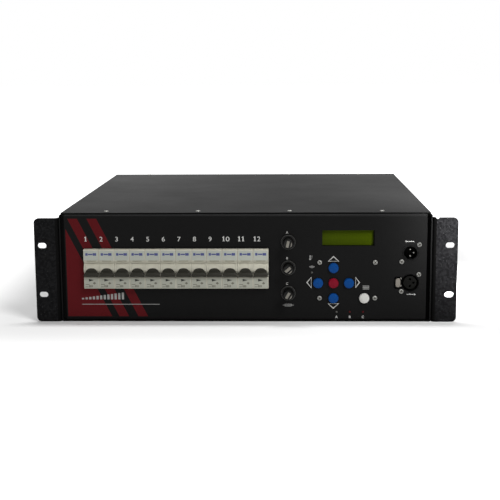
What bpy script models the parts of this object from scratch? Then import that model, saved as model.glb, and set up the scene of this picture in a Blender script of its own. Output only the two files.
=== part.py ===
"""A rack-mounted twelve-channel stage dimmer, three rack units tall, modelled in metres.

X runs to the right, Y away from the front and Z up, and left and right are as seen from the
front. Everything hangs on one empty, whose own Y is 0 on the front panel's face, and which
stands so that the origin is the middle of the bounding box's underside. Run with blender
--background --python part.py.
"""

import math

import bmesh
import bpy
from mathutils import Matrix, Vector

# Clearances
SEAT_GAP = 0.0003
RUNNING_GAP = 0.0003

# Case
CASE_WIDTH = 0.425
CASE_HEIGHT = 0.1264
CASE_DEPTH = 0.430
TRAY_SHEET = 0.0015
TRAY_BEND = 0.002
TRAY_LIP = 0.0125
TRAY_SETBACK = 0.0015
COVER_SHEET = 0.0015
COVER_SETBACK = 0.0035
COVER_EDGE = 0.0004
PANEL_SHEET = 0.002
PANEL_BEND = 0.0035
PANEL_RETURN = 0.020
BEND_STEPS = 3

# Side air slots
SLOT_COUNT = 10
SLOT_PITCH = 0.011
SLOT_WIDTH = 0.0035
SLOT_HEIGHT = 0.060
SLOT_FIRST_Y = 0.090
SLOT_Z = 0.062

# Rack ears; with the case they span 482.6 mm, as the 19-inch standard has it
EAR_PLATE = 0.0288
EAR_HOLE_INSET = 0.00875
EAR_HOLE_RISE = 0.05715
EAR_SHEET = 0.0025
EAR_BEND = 0.0045
EAR_LOW_Z = 0.00015
EAR_BELOW_TOP = 0.00575
EAR_CORNER = 0.0055
EAR_FLANGE = 0.045
EAR_SLOT_LENGTH = 0.0105
EAR_SLOT_WIDTH = 0.007
EAR_NOTCH = 0.0018
EAR_NOTCH_INSET = 0.0054

# What stands free between the case's sides and the breakers, the fuses, the control board and the
# signal sockets, from left to right; another width is shared out in these proportions
FRONT_GAPS = (0.0282, 0.01405, 0.01785, 0.0113, 0.0115)

# Circuit breakers
BREAKER_COUNT = 12
BREAKER_WIDTH = 0.0173
BREAKER_GAP = 0.0003
BREAKER_ROW_Z = 0.0627
NOSE_HEIGHT = 0.0455
NOSE_PROUD = 0.006
NOSE_ROUND = 0.0012
SHOULDER_Y = 0.014
BREAKER_HEIGHT = 0.082
RAIL_GRIP = 0.004
WINDOW_GAP = 0.0004
WINDOW_CORNER = 0.001

# Breaker toggles
TOGGLE_PIVOT_Y = 0.0025
TOGGLE_DROP = math.radians(32)
DRUM_RADIUS = 0.0059
DRUM_WIDTH = 0.0127
RIB_RADIUS = 0.0073
SWING_REACH = 0.017
SWING_HALF_ANGLE = math.radians(50)
LEVER_TIP = 0.013
LEVER_THICKNESS = 0.0034
LEVER_NECK_INSET = 0.00015
LEVER_BAR_INSET = 0.00035
LEVER_FLARE_START = 0.0076
LEVER_FLARE_END = 0.0094
LEVER_CORNER = 0.0008

# Mounting rail behind the breakers
RAIL_Y = 0.058
RAIL_HEIGHT = 0.035
RAIL_CROWN = 0.027
RAIL_DEPTH = 0.0075
RAIL_SHEET = 0.001
RAIL_OVERHANG = 0.006
BRACKET_SHEET = 0.002
BRACKET_TOP = 0.084

# Fuse holders
FUSE_TOP_Z = 0.0928
FUSE_PITCH = 0.0296
FUSE_FLANGE_LIP = 0.00155
FUSE_FLANGE_PROUD = 0.0026
FUSE_FLANGE_EDGE = 0.0009
FUSE_BARREL_WALL = 0.0009
FUSE_BARREL_LENGTH = 0.036
FUSE_BORE_RADIUS = 0.0059
FUSE_BORE_DEPTH = 0.018
FUSE_CAP_PROUD = 0.016
FUSE_CAP_TAPER = 0.0003
FUSE_CAP_DOME = 0.0006
FUSE_SLOT_WIDTH = 0.0016
FUSE_SLOT_LENGTH = 0.0082
FUSE_SLOT_DEPTH = 0.0014
FUSE_SLOT_ANGLES = {"a": math.radians(78), "b": math.radians(42), "c": math.radians(60)}

# Display
DISPLAY_FROM_BOARD_LEFT = 0.0421
DISPLAY_BELOW_TOP = 0.029
DISPLAY_OPENING_WIDTH = 0.0592
DISPLAY_OPENING_HEIGHT = 0.0178
DISPLAY_CORNER = 0.0006
DISPLAY_SETBACK = 0.0015
DISPLAY_WIDTH = 0.068
DISPLAY_HEIGHT = 0.0245
DISPLAY_THICKNESS = 0.0080
DISPLAY_GLASS_INSET = 0.0008
DISPLAY_BEZEL = 0.003

# Keypad
KEYPAD_FROM_BOARD_LEFT = 0.0254
KEYPAD_Z = 0.0454
KEY_PITCH = 0.0176
MENU_KEY_STEPS = (2, -1)
KEY_RADIUS = 0.0057
KEY_PROUD = 0.0034
KEY_DOME = 0.0016
KEY_SKIRT_RADIUS = 0.0066
KEY_SKIRT = 0.0013
KEY_STEM_RADIUS = 0.002
KEY_TRAVEL = 0.001
KEY_SWITCH_SIZE = 0.009
KEY_SWITCH_HEIGHT = 0.0036

# Control board
BOARD_WIDTH = 0.0815
BOARD_LOW_Z = 0.0180
BOARD_BELOW_TOP = 0.0134
BOARD_SHEET = 0.0016
BOARD_SCREWS_FROM_LEFT = 0.0412
BOARD_SCREW_Z = 0.0486
BOARD_SCREW_SPAN = 0.0631
BOARD_SCREW_RISE = 0.0415
STANDOFF_RADIUS = 0.003

# Three-pole signal sockets
SIGNAL_IN_Z = 0.080
SIGNAL_LINK_Z = 0.0456
SIGNAL_FLANGE = 0.026
SIGNAL_FLANGE_SHEET = 0.0025
SIGNAL_PLUG_RADIUS = 0.0079
SIGNAL_CUP_WALL = 0.0011
SIGNAL_CUP_DEPTH = 0.0145
SIGNAL_BODY_DEPTH = 0.024
CONTACT_CIRCLE = 0.0039
PIN_RADIUS = 0.0012
PIN_RECESS = 0.002
LINK_OPENING_RADIUS = 0.0092
LINK_SHELL_WALL = 0.0008
LINK_INSERT_RADIUS = 0.0076
LINK_INSERT_RECESS = 0.001
CONTACT_RADIUS = 0.0014
CONTACT_DEPTH = 0.006
LATCH_WIDTH = 0.006
LATCH_HEIGHT = 0.0108
LATCH_DEPTH = 0.0054
LATCH_PROUD = 0.0003
LATCH_TRAVEL = 0.002
LATCH_CORNER = 0.0016
LATCH_WINDOW_MARGIN = 0.0018
LATCH_HOUSING_MARGIN = 0.0028

# What stands free inside: across the tray beside the chokes and the heat sink, from the rail's
# bracket to the rear beside the chokes and the mains terminal, and from the bracket to the fans
# beside the transformer and the heat sink
INSIDE_GAPS_ACROSS = (0.004, 0.038, 0.016)
CHOKE_SIDE_GAPS = (0.0122, 0.029, 0.047)
SINK_SIDE_GAPS = (0.0152, 0.078, 0.0177)

# Heat sink and power board
SINK_WIDTH = 0.180
SINK_LENGTH = 0.180
SINK_TOP_Z = 0.066
SINK_BASE = 0.006
SINK_FIN = 0.0022
SINK_FIN_COUNT = 15
SINK_FIN_FOOT_Z = 0.010
TRIAC_COUNT = 12
TRIAC_SIZE = (0.011, 0.016, 0.010)
TRIAC_PITCH = 0.0145
POWER_BOARD_MARGIN = 0.003
POWER_BOARD_SHEET = 0.0016
TRIAC_ROW_Y = 0.060

# Chokes
CHOKE_COLUMNS = 3
CHOKE_ROWS = 4
CHOKE_RING_RADIUS = 0.018
CHOKE_WINDING_RADIUS = 0.0085
CHOKE_RING_GAP = 0.007
CHOKE_RING_SIDES = 12
CHOKE_WINDING_SIDES = 6
CHOKE_POTTING = 0.0013
CHOKE_PLATE = 0.002
CHOKE_PLATE_RIM = 0.0055
CHOKE_BOLT_RADIUS = 0.003

# Transformer and mains terminal
TRANSFORMER_LEFT_OF_SINK = 0.015
TRANSFORMER_CORE = (0.050, 0.022, 0.042)
TRANSFORMER_COIL = (0.032, 0.044, 0.028)
TRANSFORMER_FOOT = (0.068, 0.024, 0.002)
TERMINAL_POLES = 5
TERMINAL_PITCH = 0.012
TERMINAL_DEPTH = 0.030
TERMINAL_HEIGHT = 0.034
TERMINAL_WELL_RADIUS = 0.0035
TERMINAL_WELL_DEPTH = 0.012

# What stands free on the rear between the sides, the gland, the two sockets and the two fans
REAR_GAPS = (0.014, 0.0165, 0.013, 0.044, 0.010, 0.0225)

# Fans
FAN_Z = 0.062
FAN_SIZE = 0.080
FAN_CORNER = 0.004
FAN_DEPTH = 0.025
FAN_WALL = 0.0018
FAN_HOLE_INSET = 0.00425
FAN_HOLE_RADIUS = 0.0022
FAN_SPIDER = 0.003
FAN_SPIDER_STEP = 0.0003
FAN_SPIDER_RADIUS = 0.0165
FAN_STRUT_WIDTH = 0.005
FAN_STRUT_ROOT = 0.002
ROTOR_HUB_RADIUS = 0.0185
ROTOR_TIP_GAP = 0.0017
ROTOR_BLADES = 7
ROTOR_BLADE_CHORD = 0.019
ROTOR_BLADE_SHEET = 0.0014
ROTOR_BLADE_ROOT = 0.0018
ROTOR_BLADE_PITCH = math.radians(40)
ROTOR_SETBACK = 0.001
AXLE_RADIUS = 0.0015
AXLE_LENGTH = 0.002

# Output sockets and mains gland on the rear panel
OUTPUT_Z = 0.062
OUTPUT_FLANGE = 0.052
OUTPUT_FLANGE_SHEET = 0.003
OUTPUT_FLANGE_CORNER = 0.004
OUTPUT_SHELL_RADIUS = 0.0225
OUTPUT_SHELL_WALL = 0.0025
OUTPUT_SHELL_REACH = 0.016
OUTPUT_INSERT_REACH = 0.002
OUTPUT_BODY_STEP = 0.003
OUTPUT_BODY_DEPTH = 0.022
GLAND_Z = 0.062
GLAND_THREAD_RADIUS = 0.0160
GLAND_THREAD_DEPTH = 0.014
GLAND_HEX_RADIUS = 0.0205
GLAND_HEX = 0.007
GLAND_DOME_RADIUS = 0.0178
GLAND_DOME_DROP = 0.0115
GLAND_MOUTH_RADIUS = 0.0135
GLAND_REACH = 0.030
GLAND_BORE_RADIUS = 0.0105
LOCKNUT = 0.006


def shared_out(low, high, widths, gaps):
    """The middles of things in a row from low to high; the gaps' proportions share what is free."""
    free = high - low - sum(widths)
    edge = low
    middles = []
    for width, gap in zip(widths, gaps):
        edge += free * gap / sum(gaps)
        middles.append(edge + width / 2)
        edge += width
    return middles


# Levels and planes that follow from the sizes above
COVER_UNDERSIDE_Z = CASE_HEIGHT - COVER_SHEET
TRAY_TOP_Z = COVER_UNDERSIDE_Z - SEAT_GAP
FLOOR_Z = TRAY_SHEET
SEAT_Z = FLOOR_Z + SEAT_GAP
PANEL_WIDTH = CASE_WIDTH - 2 * (TRAY_SHEET + SEAT_GAP)
PANEL_BACK_Y = PANEL_SHEET + SEAT_GAP
REAR_BACK_Y = CASE_DEPTH - PANEL_SHEET - SEAT_GAP
REAR_FACE_Y = CASE_DEPTH + SEAT_GAP
FAN_FRONT_Y = REAR_BACK_Y - FAN_DEPTH
EAR_OUTER_X = CASE_WIDTH / 2 + EAR_PLATE
EAR_HIGH_Z = CASE_HEIGHT - EAR_BELOW_TOP
DISPLAY_FRONT_Y = PANEL_SHEET + DISPLAY_SETBACK
DISPLAY_Z = CASE_HEIGHT - DISPLAY_BELOW_TOP
BOARD_Y = DISPLAY_FRONT_Y + DISPLAY_THICKNESS + SEAT_GAP
BRACKET_Y = RAIL_Y + RAIL_DEPTH + SEAT_GAP
BRACKET_BACK_Y = BRACKET_Y + BRACKET_SHEET

# Sizes that follow from the sizes above
BREAKER_PITCH = BREAKER_WIDTH + BREAKER_GAP
ROW_WIDTH = BREAKER_COUNT * BREAKER_PITCH
POCKET_RADIUS = DRUM_RADIUS + RUNNING_GAP
LEVER_NECK_WIDTH = DRUM_WIDTH - 2 * LEVER_NECK_INSET
LEVER_BAR_WIDTH = BREAKER_WIDTH - 2 * LEVER_BAR_INSET
FUSE_BARREL_RADIUS = FUSE_BORE_RADIUS + FUSE_BARREL_WALL
FUSE_FLANGE_RADIUS = FUSE_BARREL_RADIUS + FUSE_FLANGE_LIP
LINK_SHELL_RADIUS = LINK_OPENING_RADIUS + LINK_SHELL_WALL
LATCH_OFFSET = LINK_SHELL_RADIUS + 2 * RUNNING_GAP + LATCH_WIDTH / 2
LATCH_HOUSING_REACH = LATCH_OFFSET + LATCH_WIDTH / 2 + RUNNING_GAP + LATCH_HOUSING_MARGIN
CHOKE_OUTER_RADIUS = CHOKE_RING_RADIUS + CHOKE_WINDING_RADIUS
CHOKE_PITCH = 2 * CHOKE_OUTER_RADIUS + CHOKE_RING_GAP
CHOKE_PLATE_MARGIN = CHOKE_OUTER_RADIUS + CHOKE_PLATE_RIM
CHOKE_PLATE_WIDTH = (CHOKE_COLUMNS - 1) * CHOKE_PITCH + 2 * CHOKE_PLATE_MARGIN
CHOKE_PLATE_LENGTH = (CHOKE_ROWS - 1) * CHOKE_PITCH + 2 * CHOKE_PLATE_MARGIN
FAN_BORE_RADIUS = FAN_SIZE / 2 - FAN_WALL
FAN_HOLE_SPAN = FAN_SIZE - 2 * FAN_HOLE_INSET
ROTOR_TIP_RADIUS = FAN_BORE_RADIUS - ROTOR_TIP_GAP
OUTPUT_BODY_RADIUS = OUTPUT_SHELL_RADIUS - OUTPUT_BODY_STEP

# Places across the front, the rear and the inside
SOCKETS_WIDTH = LATCH_HOUSING_REACH + SIGNAL_FLANGE / 2
BREAKER_ROW_X, FUSE_X, BOARD_X, SOCKETS_X = shared_out(
    -CASE_WIDTH / 2,
    CASE_WIDTH / 2,
    (ROW_WIDTH, 2 * FUSE_FLANGE_RADIUS, BOARD_WIDTH, SOCKETS_WIDTH),
    FRONT_GAPS,
)
BOARD_LEFT_X = BOARD_X - BOARD_WIDTH / 2
KEYPAD_X = BOARD_LEFT_X + KEYPAD_FROM_BOARD_LEFT
DISPLAY_X = BOARD_LEFT_X + DISPLAY_FROM_BOARD_LEFT
BOARD_SCREW_X = BOARD_LEFT_X + BOARD_SCREWS_FROM_LEFT
SIGNAL_X = SOCKETS_X + (SOCKETS_WIDTH - SIGNAL_FLANGE) / 2
LATCH_X = SIGNAL_X - LATCH_OFFSET
GLAND_X, *OUTPUT_XS, FAN_LEFT_X, FAN_RIGHT_X = shared_out(
    -CASE_WIDTH / 2,
    CASE_WIDTH / 2,
    (2 * GLAND_HEX_RADIUS, OUTPUT_FLANGE, OUTPUT_FLANGE, FAN_SIZE, FAN_SIZE),
    REAR_GAPS,
)
OUTPUT_PLACES = dict(zip(("left", "right"), OUTPUT_XS))
FAN_PLACES = {"left": FAN_LEFT_X, "right": FAN_RIGHT_X}
CHOKE_BANK_X, SINK_X = shared_out(
    TRAY_SHEET - CASE_WIDTH / 2,
    CASE_WIDTH / 2 - TRAY_SHEET,
    (CHOKE_PLATE_WIDTH, SINK_WIDTH),
    INSIDE_GAPS_ACROSS,
)
CHOKE_BANK_Y, TERMINAL_Y = shared_out(
    BRACKET_BACK_Y, CASE_DEPTH, (CHOKE_PLATE_LENGTH, TERMINAL_DEPTH), CHOKE_SIDE_GAPS
)
TRANSFORMER_Y, SINK_Y = shared_out(
    BRACKET_BACK_Y, FAN_FRONT_Y, (TRANSFORMER_COIL[1], SINK_LENGTH), SINK_SIDE_GAPS
)
CHOKE_FIRST_X = CHOKE_BANK_X - (CHOKE_COLUMNS - 1) * CHOKE_PITCH / 2
CHOKE_FIRST_Y = CHOKE_BANK_Y - (CHOKE_ROWS - 1) * CHOKE_PITCH / 2
SINK_FIRST_Y = SINK_Y - SINK_LENGTH / 2
TOGGLE_REACH = (
    LEVER_TIP * math.cos(TOGGLE_DROP)
    + LEVER_THICKNESS / 2 * math.sin(TOGGLE_DROP)
    - TOGGLE_PIVOT_Y
)
BOX_MIDDLE_Y = (CASE_DEPTH + GLAND_REACH - max(TOGGLE_REACH, FUSE_CAP_PROUD)) / 2

# Which way an outline's own axes point when it is drawn out along X, Y or Z
DRAWN_ALONG = {
    "X": Matrix(((0, 0, 1, 0), (1, 0, 0, 0), (0, 1, 0, 0), (0, 0, 0, 1))),
    "Y": Matrix(((1, 0, 0, 0), (0, 0, -1, 0), (0, 1, 0, 0), (0, 0, 0, 1))),
    "Z": Matrix.Identity(4),
}
FORWARD = Matrix.Rotation(math.radians(90), 4, "X")
BACKWARD = Matrix.Rotation(math.radians(-90), 4, "X")
SMOOTH_ANGLE = math.radians(35)
SMALL_ROUND_SEGMENTS = 8
KEY_SEGMENTS = 16
ROUND_SEGMENTS = 20
LARGE_ROUND_SEGMENTS = 32
HEX_SIDES = 6
SLOT_END_STEPS = 4
SWEEP_STEPS = 8
DOME_STEPS = 3
AXIS_MERGE = 0.00001


def clear_scene():
    for thing in list(bpy.data.objects):
        bpy.data.objects.remove(thing)


def new_collection(name):
    collection = bpy.data.collections.new(name)
    bpy.context.scene.collection.children.link(collection)
    return collection


clear_scene()
RACK = new_collection("dimmer_rack")
TOOLS = new_collection("cutters_and_joined_shapes")
TOOLS.hide_render = True
STAND = bpy.data.objects.new("dimmer_rack_stand", None)
RACK.objects.link(STAND)
STAND.location = (0, -BOX_MIDDLE_Y, 0)


# Materials


def finish(name, colour, roughness, metallic=0.0):
    """A Principled material of one plain colour."""
    made = bpy.data.materials.new(name)
    made.use_nodes = True
    shader = made.node_tree.nodes["Principled BSDF"]
    shader.inputs["Base Color"].default_value = (*colour, 1)
    shader.inputs["Roughness"].default_value = roughness
    shader.inputs["Metallic"].default_value = metallic
    made.diffuse_color = (*colour, 1)
    return made


COAT = finish("satin_black_powder_coat", (0.012, 0.012, 0.013), 0.45)
EAR_COAT = finish("textured_black_powder_coat", (0.020, 0.020, 0.024), 0.5)
GREY_MOULDING = finish("warm_grey_breaker_moulding", (0.52, 0.51, 0.45), 0.45)
BLACK_TOGGLE = finish("black_toggle_plastic", (0.03, 0.03, 0.028), 0.4)
BLACK_MOULDING = finish("black_moulding", (0.010, 0.010, 0.011), 0.35)
ZINC = finish("zinc_plated_steel", (0.62, 0.62, 0.60), 0.35, 1.0)
NICKEL = finish("satin_nickel", (0.60, 0.58, 0.55), 0.3, 1.0)
ALUMINIUM = finish("extruded_aluminium", (0.70, 0.70, 0.72), 0.35, 1.0)
BOARD_GREEN = finish("green_circuit_board", (0.02, 0.12, 0.05), 0.5)
DISPLAY_GREEN = finish("green_display_glass", (0.042, 0.062, 0.002), 0.2)
COPPER = finish("enamelled_copper", (0.55, 0.22, 0.08), 0.35, 1.0)
CORE_STEEL = finish("varnished_core_steel", (0.20, 0.16, 0.12), 0.5, 0.6)
BLUE_KEY = finish("blue_key_plastic", (0.0, 0.075, 0.32), 0.35)
RED_KEY = finish("red_key_plastic", (0.30, 0.004, 0.018), 0.35)
WHITE_KEY = finish("white_key_plastic", (0.62, 0.62, 0.58), 0.35)
TERMINAL_GREY = finish("grey_terminal_plastic", (0.30, 0.31, 0.32), 0.5)


# Outlines


def rounded(path, radius, closed=True, steps=BEND_STEPS):
    """The path with each corner made an arc, but for the two ends of an open path."""
    points = [Vector(point) for point in path]
    made = []
    for index, corner in enumerate(points):
        if not closed and index in (0, len(points) - 1):
            made.append(corner)
            continue
        to_before = (points[index - 1] - corner).normalized()
        to_after = (points[(index + 1) % len(points)] - corner).normalized()
        half_angle = to_before.angle(to_after) / 2
        reach = radius / math.tan(half_angle)
        start = corner + to_before * reach
        end = corner + to_after * reach
        centre = corner + (to_before + to_after).normalized() * radius / math.sin(half_angle)
        for step in range(steps + 1):
            spoke = start.lerp(end, step / steps) - centre
            made.append(centre + spoke.normalized() * radius)
    return made


def offset_path(path, distance):
    """The open path moved to its left by a distance, with its corners mitred."""
    sides = [(after - before).normalized() for before, after in zip(path, path[1:])]
    moved = []
    for index, point in enumerate(path):
        before = sides[max(index - 1, 0)]
        after = sides[min(index, len(sides) - 1)]
        normal = Vector((-before.y - after.y, before.x + after.x))
        moved.append(point + normal * 2 * distance / normal.length_squared)
    return moved


def sheet_outline(path, thickness, bend):
    """The closed section of a sheet folded along an open path that only turns left."""
    points = [Vector(point) for point in path]
    outer = rounded(points, bend, closed=False)
    inner = rounded(offset_path(points, thickness), bend - thickness, closed=False)
    return outer + inner[::-1]


def rectangle(low, high):
    return [(low[0], low[1]), (high[0], low[1]), (high[0], high[1]), (low[0], high[1])]


def centred_rectangle(centre, width, height):
    half = Vector((width, height)) / 2
    return rectangle(Vector(centre) - half, Vector(centre) + half)


def circle(centre, radius, segments=ROUND_SEGMENTS):
    angles = [2 * math.pi * step / segments for step in range(segments)]
    return [
        (centre[0] + radius * math.cos(angle), centre[1] + radius * math.sin(angle))
        for angle in angles
    ]


def arc(radius, start, end, steps):
    angles = [start + (end - start) * step / steps for step in range(steps + 1)]
    return [(radius * math.cos(angle), radius * math.sin(angle)) for angle in angles]


def oblong(centre, length, width):
    """A slot's outline, with round ends, lying along the first axis."""
    end_radius = width / 2
    straight = length / 2 - end_radius
    right = arc(end_radius, -math.pi / 2, math.pi / 2, SLOT_END_STEPS)
    made = [(centre[0] + straight + x, centre[1] + y) for x, y in right]
    made += [(centre[0] - straight - x, centre[1] - y) for x, y in right]
    return made


def domed(inner_radius, outer_radius, top, drop):
    """Part of a turned profile: a quarter of an ellipse, from the top's radius out and down."""
    made = []
    for step in range(DOME_STEPS + 1):
        angle = math.pi / 2 * step / DOME_STEPS
        radius = inner_radius + (outer_radius - inner_radius) * math.sin(angle)
        made.append((radius, top - drop * (1 - math.cos(angle))))
    return made


# Solids


def mesh_from_bmesh(shape, name):
    bmesh.ops.recalc_face_normals(shape, faces=shape.faces)
    mesh = bpy.data.meshes.new(name)
    shape.to_mesh(mesh)
    shape.free()
    return mesh


def evaluated_mesh(thing, name):
    """The mesh that an object's modifiers or curve settings give, with loose caps welded."""
    RACK.objects.link(thing)
    graph = bpy.context.evaluated_depsgraph_get()
    mesh = bpy.data.meshes.new_from_object(thing.evaluated_get(graph))
    bpy.data.objects.remove(thing)
    shape = bmesh.new()
    shape.from_mesh(mesh)
    bpy.data.meshes.remove(mesh)
    bmesh.ops.remove_doubles(shape, verts=shape.verts, dist=AXIS_MERGE)
    return mesh_from_bmesh(shape, name)


def prism(outlines, along, start, end):
    """Flat outlines drawn out along an axis; an outline inside another is a hole."""
    curve = bpy.data.curves.new("outline", "CURVE")
    curve.dimensions = "2D"
    curve.fill_mode = "BOTH"
    curve.extrude = (end - start) / 2
    for outline in outlines:
        spline = curve.splines.new("POLY")
        spline.points.add(len(outline) - 1)
        for point, place in zip(spline.points, outline):
            point.co = (place[0], place[1], 0, 1)
        spline.use_cyclic_u = True
    mesh = evaluated_mesh(bpy.data.objects.new("outline", curve), "prism")
    mesh.transform(DRAWN_ALONG[along])
    middle = Vector((0, 0, 0))
    middle["XYZ".index(along)] = (start + end) / 2
    mesh.transform(Matrix.Translation(middle))
    return mesh


def box(low, high):
    shape = bmesh.new()
    size = Vector(high) - Vector(low)
    middle = (Vector(high) + Vector(low)) / 2
    bmesh.ops.create_cube(shape, size=1, matrix=Matrix.LocRotScale(middle, None, size))
    return mesh_from_bmesh(shape, "box")


def rod(radius, along, start, end, centre=(0, 0), segments=ROUND_SEGMENTS):
    """A round bar along an axis, with its centre given on the two other axes, in order."""
    shape = bmesh.new()
    length = end - start
    bmesh.ops.create_cone(
        shape, cap_ends=True, segments=segments, radius1=radius, radius2=radius, depth=length
    )
    turned_to = DRAWN_ALONG[along]
    bmesh.ops.transform(shape, matrix=turned_to, verts=shape.verts)
    place = list(centre)
    place.insert("XYZ".index(along), (start + end) / 2)
    bmesh.ops.translate(shape, vec=place, verts=shape.verts)
    return mesh_from_bmesh(shape, "rod")


def turned(profile, facing, segments=ROUND_SEGMENTS):
    """A profile of (radius, height) pairs from its top down, turned about Y and facing a way."""
    line = bpy.data.meshes.new("profile")
    points = [(radius, 0, height) for radius, height in profile]
    line.from_pydata(points, [(n, n + 1) for n in range(len(points) - 1)], [])
    lathe = bpy.data.objects.new("profile", line)
    screw = lathe.modifiers.new("turned", "SCREW")
    screw.steps = segments
    screw.render_steps = segments
    screw.use_merge_vertices = True
    screw.merge_threshold = AXIS_MERGE
    mesh = evaluated_mesh(lathe, "turned")
    mesh.transform(facing)
    return mesh


def merged(meshes):
    """Meshes that don't touch one another, as one mesh."""
    shape = bmesh.new()
    for mesh in meshes:
        shape.from_mesh(mesh)
    return mesh_from_bmesh(shape, "merged")


def moved(mesh, offset):
    mesh.transform(Matrix.Translation(offset))
    return mesh


# Objects


def add(name, mesh, coat, place=(0, 0, 0), turn=(0, 0, 0)):
    """A named piece on the rack's stand."""
    piece = bpy.data.objects.new(name, mesh)
    RACK.objects.link(piece)
    piece.parent = STAND
    piece.location = place
    piece.rotation_euler = turn
    mesh.shade_smooth()
    mesh.set_sharp_from_angle(angle=SMOOTH_ANGLE)
    mesh.materials.clear()
    mesh.materials.append(coat)
    return piece


def combine(piece, mesh, operation, label):
    """A Boolean with a hidden shape that lies in the piece's own frame."""
    tool = bpy.data.objects.new(f"{piece.name}_{label}", mesh)
    TOOLS.objects.link(tool)
    tool.parent = STAND
    tool.location = piece.location
    tool.rotation_euler = piece.rotation_euler
    tool.hide_render = True
    tool.display_type = "WIRE"
    change = piece.modifiers.new(label, "BOOLEAN")
    change.object = tool
    change.operation = operation


def cut(piece, mesh, label):
    combine(piece, mesh, "DIFFERENCE", label)


def join(piece, mesh, label):
    combine(piece, mesh, "UNION", label)


def copies(first, names_and_places):
    """Copies of a finished piece, which share its final mesh."""
    graph = bpy.context.evaluated_depsgraph_get()
    mesh = bpy.data.meshes.new_from_object(first.evaluated_get(graph))
    mesh.shade_smooth()
    mesh.set_sharp_from_angle(angle=SMOOTH_ANGLE)
    for name, place in names_and_places:
        copy = bpy.data.objects.new(name, mesh)
        RACK.objects.link(copy)
        copy.parent = STAND
        copy.location = place


# Case


def folded_pan(width, low_z, high_z, face_y, direction):
    """A sheet with its four edges folded back, its face at face_y, folded along direction."""
    shape = bmesh.new()
    depth = PANEL_RETURN * direction
    size = Vector((width, PANEL_RETURN, high_z - low_z))
    middle = Vector((0, face_y + depth / 2, (low_z + high_z) / 2))
    bmesh.ops.create_cube(shape, size=1, matrix=Matrix.LocRotScale(middle, None, size))
    bmesh.ops.recalc_face_normals(shape, faces=shape.faces)
    open_side = [face for face in shape.faces if face.normal.y * direction > 0.5]
    bmesh.ops.delete(shape, geom=open_side, context="FACES")
    folds = [edge for edge in shape.edges if not edge.is_boundary]
    bmesh.ops.bevel(
        shape, geom=folds, offset=PANEL_BEND, segments=BEND_STEPS, profile=0.5, affect="EDGES"
    )
    mesh = bpy.data.meshes.new("pan")
    shape.to_mesh(mesh)
    shape.free()
    return mesh


def add_wall(piece, thickness):
    """Gives an open skin its wall, inwards."""
    wall = piece.modifiers.new("wall", "SOLIDIFY")
    wall.thickness = thickness
    wall.offset = -1
    wall.use_even_offset = True


def chassis_tray():
    half = CASE_WIDTH / 2
    path = [
        (-half + TRAY_LIP, TRAY_TOP_Z),
        (-half, TRAY_TOP_Z),
        (-half, 0),
        (half, 0),
        (half, TRAY_TOP_Z),
        (half - TRAY_LIP, TRAY_TOP_Z),
    ]
    section = sheet_outline(path, TRAY_SHEET, TRAY_BEND)
    tray_end = CASE_DEPTH - TRAY_SETBACK
    tray = add("chassis_tray", prism([section], "Y", TRAY_SETBACK, tray_end), COAT)
    cut(tray, lip_ends(), "room_for_panel_folds")
    cut(tray, side_slots(), "air_slots")
    bracket = box(
        (BREAKER_ROW_X - ROW_WIDTH / 2 - RAIL_OVERHANG, BRACKET_Y, FLOOR_Z / 2),
        (BREAKER_ROW_X + ROW_WIDTH / 2 + RAIL_OVERHANG, BRACKET_BACK_Y, BRACKET_TOP),
    )
    join(tray, bracket, "welded_rail_bracket")


def lip_ends():
    """Where the front and rear panels' folds lie, the tray's lips stop."""
    half = PANEL_WIDTH / 2 + 2 * SEAT_GAP
    low_z = TRAY_TOP_Z - PANEL_BEND
    reach = PANEL_RETURN + SEAT_GAP
    front = box((-half, -reach, low_z), (half, reach, CASE_HEIGHT))
    rear = box((-half, CASE_DEPTH - reach, low_z), (half, CASE_DEPTH + reach, CASE_HEIGHT))
    return merged([front, rear])


def side_slots():
    reach = CASE_WIDTH / 2 + TRAY_BEND
    depth = 2 * TRAY_BEND + TRAY_SHEET
    slots = []
    for side in (-1, 1):
        ends = sorted((side * reach, side * (reach - depth)))
        for index in range(SLOT_COUNT):
            middle_y = SLOT_FIRST_Y + index * SLOT_PITCH
            upright = oblong((SLOT_Z, middle_y), SLOT_HEIGHT, SLOT_WIDTH)
            outline = [(y, z) for z, y in upright]
            slots.append(prism([outline], "X", *ends))
    return merged(slots)


def top_cover():
    cover = box(
        (-PANEL_WIDTH / 2, COVER_SETBACK, COVER_UNDERSIDE_Z),
        (PANEL_WIDTH / 2, CASE_DEPTH, CASE_HEIGHT),
    )
    piece = add("top_cover", cover, COAT)
    edge = piece.modifiers.new("deburred_edge", "BEVEL")
    edge.width = COVER_EDGE
    edge.segments = 2


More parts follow.
